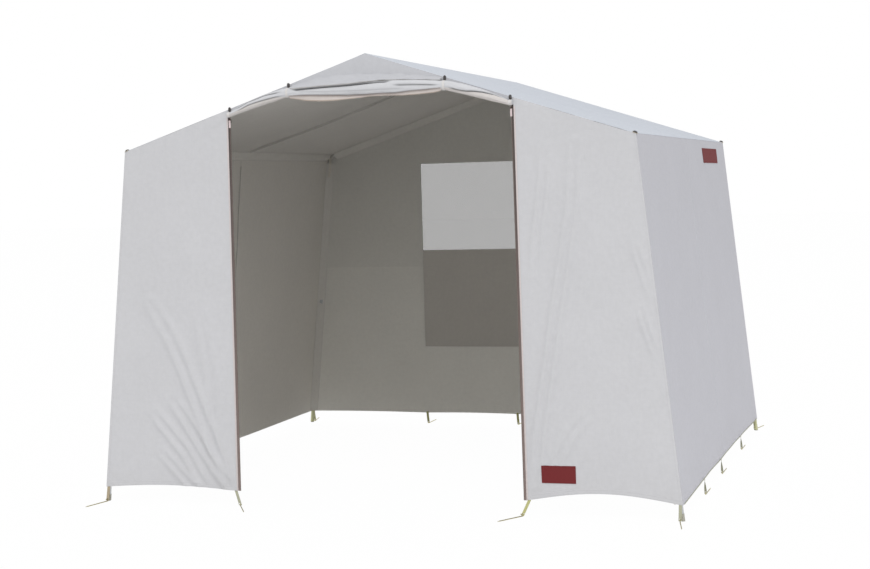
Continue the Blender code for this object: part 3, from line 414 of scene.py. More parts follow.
def rod(name, path, radius, material, sides=10, body="base"):
    points, faces = rod_parts(path, radius, sides)
    piece = add_piece(name, points, faces, [material], body)
    around = radius[0] if hasattr(radius, "__len__") else radius
    steps = [0.0] + [(b - a).length for a, b in zip(path, path[1:])]
    along = np.repeat(np.cumsum(steps), sides)
    turn = np.tile(np.arange(sides), len(path)) * (2 * pi * around / sides)
    lay_map(piece, "cut", np.stack([turn, along], axis=1))
    return piece


def lathe_parts(profile, start, along, sides=24):
    """Points and faces of a profile of (radius, distance) turned about an axis."""
    along = Vector(along).normalized()
    guide = Vector((0, 0, 1)) if abs(along.z) < 0.9 else Vector((0, 1, 0))
    first = along.cross(guide).normalized()
    second = along.cross(first)
    points = []
    rings = []
    for radius, distance in profile:
        count = sides if radius > 0 else 1
        rings.append(range(len(points), len(points) + count))
        for i in range(count):
            turn = 2 * pi * i / sides
            out = first * cos(turn) + second * sin(turn)
            points.append(Vector(start) + along * distance + out * radius)
    return points, rings_to_faces(rings, sides)


def merge(parts):
    """Several shells of points and faces as one."""
    points = []
    faces = []
    for more_points, more_faces in parts:
        base = len(points)
        points += more_points
        faces += [tuple(i + base for i in face) for face in more_faces]
    return points, faces


def block_parts(low, high):
    """Points and faces of a small straight block."""
    xs, ys, zs = zip(low, high)
    points = [Vector((x, y, z)) for x in xs for y in ys for z in zs]
    faces = [(0, 1, 3, 2), (4, 6, 7, 5), (0, 4, 5, 1), (2, 3, 7, 6), (0, 2, 6, 4), (1, 5, 7, 3)]
    return points, faces


# Lines that the canvas, the frame and the fittings share

def wall_x(height, inset=0.0):
    """Half width of the side wall's outer face at a height, less an inset square to it."""
    return BASE_HALF - height * tan(WALL_LEAN) - inset / cos(WALL_LEAN)


def roof_z(x, inset=0.0):
    """Height of the roof's outer face over x, less an inset square to it."""
    return RIDGE_HEIGHT - abs(x) * tan(ROOF_PITCH) - inset / cos(ROOF_PITCH)


def under_roof(start, slope, inset=CLOTH + GAP):
    """Height at which the line x = start + slope * height reaches the roof's inset face."""
    return (roof_z(0, inset) - start * tan(ROOF_PITCH)) / (1 + slope * tan(ROOF_PITCH))


def door_x(height):
    """Half width of the doorway at a height."""
    share = (height - HEM_HEIGHT) / (EAVE_HEIGHT - HEM_HEIGHT)
    return mix(DOOR_HALF_FOOT, DOOR_HALF_EAVE, share)


def door_slope():
    return (DOOR_HALF_EAVE - DOOR_HALF_FOOT) / (EAVE_HEIGHT - HEM_HEIGHT)


def eave_node(side, end):
    """Where the axes of leg, rafter and eave pole meet."""
    height = under_roof(wall_x(0, FRAME_INSET), -tan(WALL_LEAN), FRAME_INSET)
    return Vector((side * wall_x(height, FRAME_INSET), end * (REAR - FRAME_INSET), height))


def apex_node(end):
    return Vector((0, end * (REAR - FRAME_INSET), roof_z(0, FRAME_INSET)))


def leg_axis(side):
    """Direction of a leg, downward."""
    return Vector((side * sin(WALL_LEAN), 0, -cos(WALL_LEAN)))


def rafter_axis(side):
    """Direction of a rafter, from eave to ridge."""
    return Vector((-side * cos(ROOF_PITCH), 0, sin(ROOF_PITCH)))


def wall_inward(side):
    return Vector((-side * cos(WALL_LEAN), 0, -sin(WALL_LEAN)))


def roof_inward(side):
    return Vector((-side * sin(ROOF_PITCH), 0, -cos(ROOF_PITCH)))


# Finishes

def wire(tree, kind, links=None, **settings):
    """Adds a node and fills its inputs with values or with other nodes' outputs."""
    made = tree.nodes.new("ShaderNode" + kind)
    for key, value in settings.items():
        setattr(made, key, value)
    for socket, value in (links or {}).items():
        if isinstance(value, bpy.types.NodeSocket):
            tree.links.new(value, made.inputs[socket])
        else:
            made.inputs[socket].default_value = value
    return made


def sums(tree, operation, first, second=0.0, third=0.0, clamp=False):
    """A Math node's result."""
    made = wire(tree, "Math", {0: first, 1: second, 2: third}, operation=operation, use_clamp=clamp)
    return made.outputs[0]


def product(tree, factors):
    """The product of several factors."""
    result = factors[0]
    for factor in factors[1:]:
        result = sums(tree, "MULTIPLY", result, factor)
    return result


def part_of(tree, vector, axis):
    """One coordinate of a vector."""
    return wire(tree, "SeparateXYZ", {0: vector}).outputs[axis]


def mapped(tree, value, low, high, start, end):
    """A value that goes from start to end while another goes from low to high."""
    return wire(tree, "MapRange", {0: value, 1: low, 2: high, 3: start, 4: end}).outputs[0]


def clouds(tree, place, scale, detail, roughness=0.5):
    """Cloudy noise, about 0.5 on average."""
    settings = {"Vector": place, "Scale": scale, "Detail": detail, "Roughness": roughness}
    return wire(tree, "TexNoise", settings).outputs[0]


def group(name, inputs, outputs):
    """An empty node group with its sockets; returns the tree, its inputs and its outputs."""
    tree = bpy.data.node_groups.new(name, "ShaderNodeTree")
    for label, kind, value in inputs:
        socket = tree.interface.new_socket(name=label, in_out="INPUT", socket_type="NodeSocket" + kind)
        if value is not None:
            socket.default_value = value
    for label, kind in outputs:
        tree.interface.new_socket(name=label, in_out="OUTPUT", socket_type="NodeSocket" + kind)
    return tree, tree.nodes.new("NodeGroupInput").outputs, tree.nodes.new("NodeGroupOutput").inputs


def make_weave():
    """Plain weave of two thread directions with thicker slubs, over the flat cloth."""
    tree, source, sink = group("canvas weave", [("Cut", "Vector", None)],
                               [("Shade", "Float"), ("Height", "Float")])
    waves = []
    slubs = []
    for axis, scale in enumerate(((900.0, 9.0, 1.0), (9.0, 900.0, 1.0))):
        turn = sums(tree, "MULTIPLY", part_of(tree, source["Cut"], axis), 2 * pi / THREAD_PITCH)
        waves.append(sums(tree, "SINE", turn))
        stretched = wire(tree, "VectorMath", {0: source["Cut"], 1: scale}, operation="MULTIPLY")
        thread = wire(tree, "TexNoise", {"Vector": stretched.outputs[0], "Scale": 1.0, "Detail": 1.0},
                      noise_dimensions="2D")
        slubs.append(sums(tree, "SUBTRACT", thread.outputs[0], 0.5))
    cross = product(tree, waves)
    slub = sums(tree, "ADD", slubs[0], slubs[1])
    shade = sums(tree, "MULTIPLY_ADD", slub, SLUB, 1.0)
    tree.links.new(sums(tree, "MULTIPLY_ADD", cross, 0.010, shade), sink["Shade"])
    tree.links.new(sums(tree, "MULTIPLY_ADD", cross, 0.35, sums(tree, "ADD", slub, 0.5)), sink["Height"])
    return tree


def make_mottle():
    """Soft cloudy variation of a finish, as a factor near 1."""
    tree, source, sink = group(
        "soft mottle",
        [("Place", "Vector", None), ("Size", "Float", 0.10), ("Amount", "Float", 0.03)],
        [("Shade", "Float")],
    )
    cloud = clouds(tree, source["Place"], sums(tree, "DIVIDE", 1.0, source["Size"]), 4.0, 0.6)
    centred = sums(tree, "SUBTRACT", cloud, 0.5)
    doubled = sums(tree, "MULTIPLY", source["Amount"], 4.0)
    tree.links.new(sums(tree, "MULTIPLY_ADD", centred, doubled, 1.0), sink["Shade"])
    return tree


def make_ground_dirt():
    """Mask of the dust that splashes up from the ground."""
    tree, source, sink = group("ground dust", [("Place", "Vector", None)], [("Mask", "Float")])
    height = part_of(tree, source["Place"], 2)
    rise = sums(tree, "DIVIDE", sums(tree, "SUBTRACT", height, HEM_HEIGHT), DUST_REACH)
    cloud = clouds(tree, source["Place"], 14.0, 5.0)
    edge = sums(tree, "SUBTRACT", sums(tree, "MULTIPLY", cloud, 1.6), rise, clamp=True)
    tree.links.new(product(tree, [edge, edge]), sink["Mask"])
    return tree


def make_stitches():
    """Mask of two rows of stitches along a sewn strip, whose edges lie at -1 and 1 across it."""
    tree, source, sink = group("seam stitches", [("Sewn", "Vector", None)], [("Mask", "Float")])
    split = wire(tree, "SeparateXYZ", {0: source["Sewn"]})
    away = sums(tree, "SUBTRACT", sums(tree, "ABSOLUTE", split.outputs[0]), STITCH_ROW)
    away = sums(tree, "DIVIDE", sums(tree, "ABSOLUTE", away), STITCH_WIDE)
    line = sums(tree, "SUBTRACT", 1.0, away, clamp=True)
    step = sums(tree, "FRACT", sums(tree, "DIVIDE", split.outputs[1], STITCH_PITCH))
    tree.links.new(product(tree, [line, sums(tree, "LESS_THAN", step, 0.74)]), sink["Mask"])
    return tree


def make_scuff():
    """Fine scratches and rubbed spots of a hard finish."""
    tree, source, sink = group(
        "rubbed finish",
        [("Place", "Vector", None), ("Size", "Float", 0.01), ("Amount", "Float", 0.5)],
        [("Mask", "Float"), ("Shade", "Float")],
    )
    fine = clouds(tree, source["Place"], sums(tree, "DIVIDE", 1.0, source["Size"]), 8.0, 0.7)
    spots = mapped(tree, fine, 0.55, 0.72, 0.0, 1.0)
    tree.links.new(product(tree, [spots, source["Amount"]]), sink["Mask"])
    tree.links.new(sums(tree, "MULTIPLY_ADD", fine, 0.24, 0.88), sink["Shade"])
    return tree


WEAVE = make_weave()
MOTTLE = make_mottle()
DUST = make_ground_dirt()
STITCHES = make_stitches()
SCUFF = make_scuff()


def new_material(name, roughness, metallic=0.0):
    """A material, its tree, its Principled shader and its object coordinates."""
    made = bpy.data.materials.new(name)
    made.use_nodes = True
    tree = made.node_tree
    shader = tree.nodes["Principled BSDF"]
    shader.inputs["Roughness"].default_value = roughness
    shader.inputs["Metallic"].default_value = metallic
    place = wire(tree, "TexCoord").outputs["Object"]
    return made, tree, shader, place


def place_group(tree, used, links):
    """Adds a node group; returns its outputs."""
    return wire(tree, "Group", links, node_tree=used).outputs


def shaded(tree, colour, shade):
    """A colour made lighter or darker by a factor."""
    return wire(tree, "VectorMath", {0: colour, "Scale": shade}, operation="SCALE").outputs[0]


def blend_colour(tree, factor, under, over):
    """The colour over shows through the colour under by a factor."""
    return wire(tree, "Mix", {0: factor, 6: under, 7: (*over, 1.0)}, data_type="RGBA").outputs[2]


def emboss(tree, shader, height, strength, distance):
    """Gives a finish its fine relief."""
    relief = wire(tree, "Bump", {"Height": height, "Strength": strength, "Distance": distance})
    tree.links.new(relief.outputs[0], shader.inputs["Normal"])


def kept_map(tree, name):
    """The numbers that lay_map kept for each point."""
    return wire(tree, "UVMap", uv_map=name).outputs[0]


def worn_paler(tree, place, fade):
    """Factor that rises from 1 at the eaves to fade at the hem."""
    return mapped(tree, part_of(tree, place, 2), HEM_HEIGHT, EAVE_HEIGHT, fade, 1.0)


def canvas(name, colour, dust=0.0, join=None, fade=None, aired=None, sewn=False, creased=None):
    """Cotton canvas. join is a height below which the cloth is a paler width, fade is how much paler
    it has worn at the hem than at the eaves, aired is its shade at the door against the rear wall,
    sewn is for strips with rows of stitches, and creased is how much soil is in the creases."""
    made, tree, shader, place = new_material(name, 0.88)
    weave = place_group(tree, WEAVE, {"Cut": kept_map(tree, "cut")})
    shades = [place_group(tree, MOTTLE, {"Place": place, "Size": size, "Amount": amount})["Shade"]
              for size, amount in ((0.34, 0.018), (0.022, 0.030))]
    shades.append(weave["Shade"])
    if join:
        shades.append(mapped(tree, part_of(tree, place, 2), join - 0.002, join + 0.002, 1.06, 1.0))
    if fade:
        shades.append(worn_paler(tree, place, fade))
    if aired:
        shades.append(mapped(tree, part_of(tree, place, 1), -0.3, REAR, aired, 1.0))
    if creased:
        depth = part_of(tree, kept_map(tree, "crease"), 0)
        shades.append(sums(tree, "MULTIPLY_ADD", depth, -creased, 1.0))
    if sewn:
        stitches = place_group(tree, STITCHES, {"Sewn": kept_map(tree, "sewn")})["Mask"]
        shades.append(sums(tree, "MULTIPLY_ADD", stitches, -0.22, 1.0))
    tint = shaded(tree, colour, product(tree, shades))
    if dust:
        mask = place_group(tree, DUST, {"Place": place})["Mask"]
        tint = blend_colour(tree, sums(tree, "MULTIPLY", mask, dust), tint, DUST_TONE)
    tree.links.new(tint, shader.inputs["Base Color"])
    creases = clouds(tree, place, 16.0, 3.0)
    rough = sums(tree, "MULTIPLY_ADD", weave["Height"], 0.12, sums(tree, "MULTIPLY", creases, 1.5))
    if sewn:
        rough = sums(tree, "MULTIPLY_ADD", stitches, -0.5, rough)
    emboss(tree, shader, rough, 0.35, 0.0015)
    return made


def webbing(name, colour, rib=0.0018, fade=None):
    """Ribbed tape woven with edges, for straps, loops and bindings. fade is how much paler it has
    worn at the hem than at the eaves."""
    made, tree, shader, place = new_material(name, 0.85)
    cut = kept_map(tree, "cut")
    cords, ribs = (sums(tree, "SINE", sums(tree, "MULTIPLY", part_of(tree, cut, axis), 2 * pi / rib))
                   for axis in (0, 1))
    soft = place_group(tree, MOTTLE, {"Place": place, "Size": 0.012, "Amount": 0.06})["Shade"]
    shades = [soft, sums(tree, "MULTIPLY_ADD", ribs, 0.05, 1.0)]
    if fade:
        shades.append(worn_paler(tree, place, fade))
    tree.links.new(shaded(tree, colour, product(tree, shades)), shader.inputs["Base Color"])
    height = sums(tree, "MULTIPLY_ADD", ribs, 0.5, sums(tree, "MULTIPLY", cords, 0.3))
    emboss(tree, shader, height, 0.5, 0.0004)
    return made


def hard(name, colour, roughness, metallic=0.0, size=0.012):
    """Metal, plastic or rubber with rubbed spots and uneven gloss."""
    made, tree, shader, place = new_material(name, roughness, metallic)
    scuff = place_group(tree, SCUFF, {"Place": place, "Size": size, "Amount": 0.4})
    tint = blend_colour(tree, scuff["Mask"], shaded(tree, colour, scuff["Shade"]), RUBBED_TONE)
    tree.links.new(tint, shader.inputs["Base Color"])
    gloss = sums(tree, "MULTIPLY", scuff["Shade"], roughness)
    tree.links.new(sums(tree, "MULTIPLY_ADD", scuff["Mask"], 0.25, gloss), shader.inputs["Roughness"])
    emboss(tree, shader, clouds(tree, place, 700.0, 2.0), 0.25, 0.0002)
    return made


def spangled(name, colour, worn):
    """Zinc-coated steel: large crystal flakes of uneven shade over a satin metal."""
    made, tree, shader, place = new_material(name, 0.40, 1.0)
    flakes = wire(tree, "TexVoronoi", {"Vector": place, "Scale": 260.0}).outputs["Color"]
    flake = wire(tree, "SeparateColor", {0: flakes}).outputs[0]
    scuff = place_group(tree, SCUFF, {"Place": place, "Size": 0.03, "Amount": 0.5})
    shade = product(tree, [scuff["Shade"], sums(tree, "MULTIPLY_ADD", flake, 0.22, 0.86)])
    tint = blend_colour(tree, scuff["Mask"], shaded(tree, colour, shade), worn)
    tree.links.new(tint, shader.inputs["Base Color"])
    tree.links.new(sums(tree, "MULTIPLY_ADD", flake, 0.16, 0.32), shader.inputs["Roughness"])
    return made


def film(name, colour, alpha):
    """Frosted window film with faint ripples."""
    made, tree, shader, place = new_material(name, 0.45)
    shade = place_group(tree, MOTTLE, {"Place": place, "Size": 0.20, "Amount": 0.012})["Shade"]
    tree.links.new(shaded(tree, colour, shade), shader.inputs["Base Color"])
    shader.inputs["Alpha"].default_value = alpha
    emboss(tree, shader, clouds(tree, place, 9.0, 2.0), 0.2, 0.002)
    return made


FRONT_TONE = (0.562, 0.562, 0.579)
GABLE_TONE = (0.505, 0.510, 0.535)
SIDE_TONE = (0.541, 0.541, 0.580)
ROOF_TONE = (0.545, 0.576, 0.632)
LINING_TONE = (0.725, 0.700, 0.655)
REAR_TONE = (0.616, 0.605, 0.568)
CEILING_TONE = (0.712, 0.688, 0.653)
SEAM_TONE = (0.690, 0.666, 0.623)
CEILING_SEAM_TONE = (0.660, 0.638, 0.606)

FRONT_CANVAS = canvas("front_canvas", FRONT_TONE, dust=0.04, fade=1.065)
FRONT_HEM = canvas("front_canvas_hem", FRONT_TONE, dust=0.04, fade=1.065, sewn=True)
GABLE_CANVAS = canvas("gable_canvas", GABLE_TONE)
SIDE_CANVAS = canvas("side_canvas", SIDE_TONE, dust=0.04, fade=1.08)
SIDE_HEM = canvas("side_canvas_hem", SIDE_TONE, dust=0.04, fade=1.08, sewn=True)
ROOF_CANVAS = canvas("roof_canvas", ROOF_TONE)
ROOF_HEM = canvas("roof_canvas_seam", ROOF_TONE, sewn=True)
LINING = canvas("canvas_inside", LINING_TONE, fade=1.24, aired=0.95)
LINING_HEM = canvas("canvas_inside_hem", LINING_TONE, fade=1.24, aired=0.95, sewn=True)
CEILING = canvas("roof_canvas_inside", CEILING_TONE, aired=0.79)
REAR_LINING = canvas("rear_canvas_inside", REAR_TONE, join=JOIN_HEIGHT, fade=1.46)
REAR_HEM = canvas("rear_canvas_inside_hem", REAR_TONE, join=JOIN_HEIGHT, fade=1.46, sewn=True)
SEAM_LINING = canvas("joined_canvas_inside", SEAM_TONE, fade=1.24, aired=0.95, sewn=True)
CEILING_SEAM = canvas("joined_roof_inside", CEILING_SEAM_TONE, aired=0.79, sewn=True)
SLEEVE_CANVAS = canvas("sleeve_canvas", (0.655, 0.636, 0.599), fade=1.22)
SEAM_FLAP = canvas("seam_flap_canvas", (0.610, 0.590, 0.558), fade=1.24, aired=0.84)
BLIND_CANVAS = canvas("blind_canvas", (0.590, 0.565, 0.525))
BLIND_HEM_CANVAS = canvas("blind_canvas_hem", (0.590, 0.565, 0.525), sewn=True)
ROLL_CANVAS = canvas("rolled_canvas", (0.590, 0.594, 0.615), creased=0.75)
DOOR_LINING = canvas("door_lining", (0.590, 0.535, 0.505))
DOOR_LINING_EDGE = canvas("door_lining_edge", (0.400, 0.335, 0.285))
ROLL_LINING = canvas("rolled_lining", (0.610, 0.578, 0.560), creased=0.75)
BINDING = webbing("pale_binding", (0.620, 0.560, 0.550))
PIPING = webbing("door_piping", (0.330, 0.285, 0.270))
STRAP = webbing("tie_webbing", (0.660, 0.640, 0.630))
LOOP = webbing("loop_webbing_tan", (0.420, 0.350, 0.240))
GREEN_LOOP = webbing("loop_webbing_green", (0.520, 0.510, 0.230))
CUFF_WEBBING = webbing("cuff_webbing", (0.700, 0.700, 0.420))
GREY_LOOP = webbing("loop_webbing_grey", (0.430, 0.430, 0.320))
PULL_TAB = webbing("zip_pull_webbing", (0.640, 0.540, 0.540))
ZIP_TAPE = webbing("zip_tape_cloth", (0.082, 0.063, 0.058), rib=0.0012, fade=3.2)
PATCH = canvas("patch_cloth", (0.165, 0.016, 0.018))
PATCH_HEM = canvas("patch_cloth_edge", (0.165, 0.016, 0.018), sewn=True)
TIE_TAPE = webbing("tie_tape", (0.660, 0.625, 0.560))
FILM = film("window_film_frosted", (0.42, 0.42, 0.42), 0.41)
TEETH = hard("zip_teeth_metal", (0.26, 0.22, 0.20), 0.42, 1.0)
SLIDER = hard("slider_bronze", (0.085, 0.060, 0.050), 0.40, 0.7)
TOGGLE = hard("toggle_plastic_dark", (0.040, 0.034, 0.033), 0.42, size=0.004)
NYLON = hard("connector_nylon_grey", (0.520, 0.505, 0.475), 0.50)
CAP = hard("cap_nylon", (0.045, 0.042, 0.042), 0.45)
RUBBER = hard("foot_rubber_pale", (0.430, 0.420, 0.360), 0.80)
STEEL = spangled("galvanised_tube", (0.56, 0.57, 0.58), (0.30, 0.29, 0.28))
PEG_STEEL = spangled("peg_zinc_yellow", (0.52, 0.47, 0.26), (0.30, 0.27, 0.20))
EYELET = hard("eyelet_brass", (0.55, 0.47, 0.34), 0.35, 1.0)

# Outer and inner finish of each panel, then those of its hems and of its joined seams
FRONT_CLOTH = [FRONT_CANVAS, LINING, FRONT_HEM, LINING_HEM, FRONT_HEM, SEAM_LINING]
SIDE_CLOTH = [SIDE_CANVAS, LINING, SIDE_HEM, LINING_HEM, SIDE_HEM, SEAM_LINING]
REAR_CLOTH = [SIDE_CANVAS, REAR_LINING, SIDE_HEM, REAR_HEM, SIDE_HEM, SEAM_LINING]
ROOF_CLOTH = [ROOF_CANVAS, CEILING, ROOF_HEM, CEILING_SEAM, ROOF_HEM, CEILING_SEAM]
BLIND_CLOTH = [BLIND_CANVAS, BLIND_CANVAS, BLIND_HEM_CANVAS, BLIND_HEM_CANVAS]

CAD_FINISHES = {
    "galvanised_steel": STEEL, "moulded_nylon": NYLON, "foot_rubber": RUBBER, "zip_metal": TEETH,
}


def dress_frame():
    """Gives the frame's own solids their finish."""
    for name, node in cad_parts.items():
        for holder in node.material_slots:
            base = holder.material.name.split(".")[0] if holder.material else ""
            if name.endswith("_peg"):
                holder.material = PEG_STEEL
            elif name.startswith("zip_slider"):
                holder.material = SLIDER
            elif base in CAD_FINISHES:
                holder.material = CAD_FINISHES[base]


# Canvas

def off_line(spot, line):
    """Distance from a point to a line of points, and how far along it the nearest place is, 0 to 1."""
    best, share = 1e9, 0.0
    for k, (start, end) in enumerate(zip(line, line[1:])):
        run = (end[0] - start[0], end[1] - start[1])
        way = (spot[0] - start[0], spot[1] - start[1])
        part = (way[0] * run[0] + way[1] * run[1]) / (run[0] ** 2 + run[1] ** 2)
        part = min(max(part, 0.0), 1.0)
        away = (way[0] - run[0] * part) ** 2 + (way[1] - run[1] * part) ** 2
        if away < best:
            best, share = away, (k + part) / (len(line) - 1)
    return sqrt(best), share


def fold_depth(x, height, folds):
    """How far the folds lift the cloth at a point of a front panel: each is a crease between ridges."""
    total = 0.0
    for line, rise, half in folds:
        away, share = off_line((x, height), line)
        if away < 4.5 * half:
            crease = exp(-((away / half - 1.15) / 0.80) ** 2) + exp(-((away / half + 1.15) / 0.80) ** 2)
            total += rise * sqrt(max(sin(pi * min(max(share, 0.02), 0.98)), 0.0)) * crease
    return total


def crinkle(x, y, size, height):
    """Small random unevenness of the cloth."""
    return noise.noise(Vector((x / size, y / size, 3.7))) * height


def front_lift(side, x, height):
    """How far a front panel's canvas stands out at a point."""
    edge = min(x - door_x(height), wall_x(height) - x, roof_z(x, CLOTH + GAP) - height)
    lift = fold_depth(side * x, height, RIGHT_FOLDS if side > 0 else LEFT_FOLDS)
    lift += max(crinkle(x + 5 * side, height * 0.6, 0.17, 0.003), 0)
    return lift * ramp(edge, FOLD_MARGIN)


def front_wall(side):
    hem_rise = RIGHT_HEM_RISE if side > 0 else LEFT_HEM_RISE
    hem_width = wall_x(HEM_HEIGHT) - door_x(HEM_HEIGHT)

    def place(share, rise):
        start = mix(door_x(0), wall_x(0), share)
        slope = mix(door_slope(), -tan(WALL_LEAN), share)
        top = under_roof(start, slope)
        height = mix(HEM_HEIGHT + hem_rise * sin(pi * share), top, rise)
        x = start + slope * height
        return Vector((side * x, FRONT - front_lift(side, x, height), height))

    tall = EAVE_HEIGHT - HEM_HEIGHT
    hem = HEM_WIDE / tall
    edge = SEAM_WIDE / hem_width
    columns = spread(hemmed(0, 1, edge, FINE / hem_width), FOLD_STEP / hem_width)
    rows = spread([0, hem, hem + FINE / tall, 1], FOLD_STEP / tall)

    bands = (("u", 0, edge, False), ("u", 1 - edge, 1, False), ("v", 0, hem, False))
    name = "front_canvas_%s" % SIDES[side]
    piece = cloth(name, columns, rows, place, (0, 1, 0), FRONT_CLOTH, bands=bands, even=True)
    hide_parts("front_%s_wall" % SIDES[side])


def scallop(y, stops, rise):
    """Rise of the hem between the loops that hold it down."""
    for low, high in zip(stops, stops[1:]):
        if low <= y <= high:
            return rise * sin(pi * (y - low) / (high - low))
    return 0.0


def side_point(side, y, height):
    """Point of a side wall's outer face, which sags between the poles."""
    edge = min(y - FRONT, REAR - y, under_roof(wall_x(0), -tan(WALL_LEAN)) - height) - 2 * TUBE_RADIUS
    sag = WALL_SAG * ramp(edge, EAVE_HEIGHT / 2)
    sag += crinkle(y, height + 9 * side, 0.24, 0.0025) * ramp(edge, 0.15)
    return Vector((side * wall_x(height), y, height)) + wall_inward(side) * sag


def side_wall(side):
    corner = CLOTH + GAP
    top = under_roof(wall_x(0), -tan(WALL_LEAN))
    stops = [FRONT + corner, *HEM_STOPS[side], REAR - corner]

    def place(y, rise):
        return side_point(side, y, mix(HEM_HEIGHT + scallop(y, stops, SIDE_SCALLOP), top, rise))

    tall = top - HEM_HEIGHT
    hem = HEM_WIDE / tall
    half = JOIN_WIDE / 2
    ends = hemmed(stops[0], stops[-1], SEAM_WIDE)
    columns = spread([*ends[:3], -half - FINE, -half, half, half + FINE, *ends[3:]], STEP)
    rows = spread([0, hem, hem + FINE / tall, 1 - hem, 1], STEP / tall)

    bands = (("u", stops[0], stops[0] + SEAM_WIDE, False), ("u", -half, half, True),
             ("u", stops[-1] - SEAM_WIDE, stops[-1], False), ("v", 0, hem, False))
    name = "side_canvas_%s" % SIDES[side]
    piece = cloth(name, columns, rows, place, wall_inward(side), SIDE_CLOTH, bands=bands, even=True)
    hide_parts("%s_wall" % SIDES[side])


def rear_wall():
    """Rear wall with its window opening, made of four widths round it so that the edges are true."""
    stops = [-wall_x(HEM_HEIGHT), *REAR_STOPS.values(), wall_x(HEM_HEIGHT)]

    def column_line(column):
        beyond = max(abs(column) - 1, 0)
        inner = min(abs(column), 1) * WINDOW_HALF
        return inner + beyond * (wall_x(0) - WINDOW_HALF), -beyond * tan(WALL_LEAN)

    def place(column, row):
        start, slope = column_line(column)
        x = (start + slope * HEM_HEIGHT) * (-1 if column < 0 else 1)
        hem = HEM_HEIGHT + scallop(x, stops, REAR_SCALLOP)
        top = under_roof(start, slope)
        share = min(top / under_roof(WINDOW_HALF, 0), 1)
        levels = [hem, WINDOW_SILL * share, WINDOW_TOP * share, top]
        level = min(int(row), 2)
        height = mix(levels[level], levels[level + 1], row - level)
        x = (start + slope * height) * (-1 if column < 0 else 1)
        beside = max(abs(x) - WINDOW_HALF, WINDOW_SILL - height, height - WINDOW_TOP)
        edge = min(beside, wall_x(height) - abs(x), roof_z(x) - height, height - hem)
        wave = crinkle(x + 3, height, 0.22, 0.002) * ramp(edge - 0.05, 0.12)
        return Vector((x, REAR - abs(wave), height))

    margin = wall_x(HEM_HEIGHT) - WINDOW_HALF
    edge = SEAM_WIDE / margin
    window_edge = PANE_SEAM / margin
    columns = spread([-2, edge - 2, edge - 1.998, -1 - window_edge, -1, 0, 1, 1 + window_edge,
                      1.998 - edge, 2 - edge, 2], STEP / margin)
    low = HEM_WIDE / (WINDOW_SILL - HEM_HEIGHT)
    rows = spread([0, low, low + FINE, 1], STEP / 1.08) + spread([1, 2], STEP / 0.57)[1:]
    rows += spread([2, 3], STEP / 0.28)[1:]

    def in_window(i, j):
        inside = abs(columns[i] + columns[i + 1]) < 2 - 1e-6
        return inside and 1 <= rows[j] + 1e-6 and rows[j + 1] <= 2 + 1e-6

    bands = (("u", -2, edge - 2, False), ("u", 2 - edge, 2, False), ("v", 0, low, False))
    piece = cloth("rear_canvas", columns, rows, place, (0, -1, 0), REAR_CLOTH,
                  hole=in_window, bands=bands, even=True)
    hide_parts("rear_wall")


def roof_length():
    """Length of a slope of the roof, from eave to ridge."""
    return (EAVE_HALF - GAP / 2) / cos(ROOF_PITCH)


def roof_point(side, up, along):
    """Point of a slope's outer face, which sags between the poles."""
    length, free = roof_length(), 2 * FRAME_INSET
    edge = min(up, length - up, along, DEPTH - along) - free
    sag = ROOF_SAG * ramp(edge, length / 2 - free)
    sag += crinkle(up + 7 * side, along, 0.26, 0.0025) * ramp(edge, 0.15)
    pulled = bump(along, 0.05) * (0.5 + 0.5 * noise.noise(Vector((up * 9, side, 0.3)))) * 0.0022
    sag += pulled * ramp(min(up, length - up) - free, 0.05)
    eave = Vector((side * EAVE_HALF, FRONT + along, EAVE_HEIGHT))
    return eave + rafter_axis(side) * up + roof_inward(side) * sag


def roof(side):
    """One slope of the roof, with a felled seam at mid depth and eyelets for the frame's spikes."""
    length = roof_length()
    eyelet = (eave_node(side, -1) - Vector((side * EAVE_HALF, 0, EAVE_HEIGHT))).dot(rafter_axis(side))
    half = SPIKE_RADIUS + 0.0009
    free = 2 * FRAME_INSET

    seam = JOIN_WIDE / 2
    columns = spread([0, eyelet - half, eyelet + half, free, length - free, length], STEP)
    rows = [0, FRAME_INSET - half, FRAME_INSET + half, free, DEPTH / 2 - seam - FINE, DEPTH / 2 - seam]
    rows = spread(rows + [DEPTH - y for y in reversed(rows)], STEP)
    front, rear = rows.index(FRAME_INSET - half), len(rows) - 3
    hole_column = columns.index(eyelet - half)

    def in_eyelet(i, j):
        return i == hole_column and (j == front or j == rear)

    bands = (("v", DEPTH / 2 - seam, DEPTH / 2 + seam, True),)
    name = "roof_canvas_%s" % SIDES[side]
    piece = cloth(name, columns, rows, lambda up, along: roof_point(side, up, along),
                  roof_inward(side), ROOF_CLOTH, hole=in_eyelet, bands=bands, even=True)
    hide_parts("%s_roof" % SIDES[side])


def gable_top():
    """Piece of canvas over the door, with pleats that gather towards the ties."""
    foot = roof_z(GABLE_FLAT_HALF, CLOTH + GAP) - GABLE_BAND
    kink = GABLE_FLAT_HALF / door_x(foot)
    slope = door_slope()

    def place(share, rise):
        start = abs(share) * (door_x(0) - GAP)
        top = under_roof(start, abs(share) * slope)
        low = min(foot, top - GABLE_BAND)
        height = mix(low, top, rise)
        x = start + abs(share) * slope * height
        near = min(abs(x - TIE_INNER), abs(x - TIE_OUTER))
        lift = 0.0022 * abs(sin(95 * x)) * bump(near, 0.10) * (1 - rise)
        middle = 0.004 * bump(x, 0.25) * sin(pi * rise)
        lift = (lift + middle) * ramp(top - height, 0.02)
        return Vector((x if share > 0 else -x, FRONT - lift * ramp(door_x(height) - x, 0.02), height))

    columns = spread([-1, -kink, 0, kink, 1], 0.014)
    piece = cloth("gable_canvas", columns, spread([0, 1], 0.12), place, (0, 1, 0), [GABLE_CANVAS, LINING],
                  even=True)
    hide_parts("gable_top")


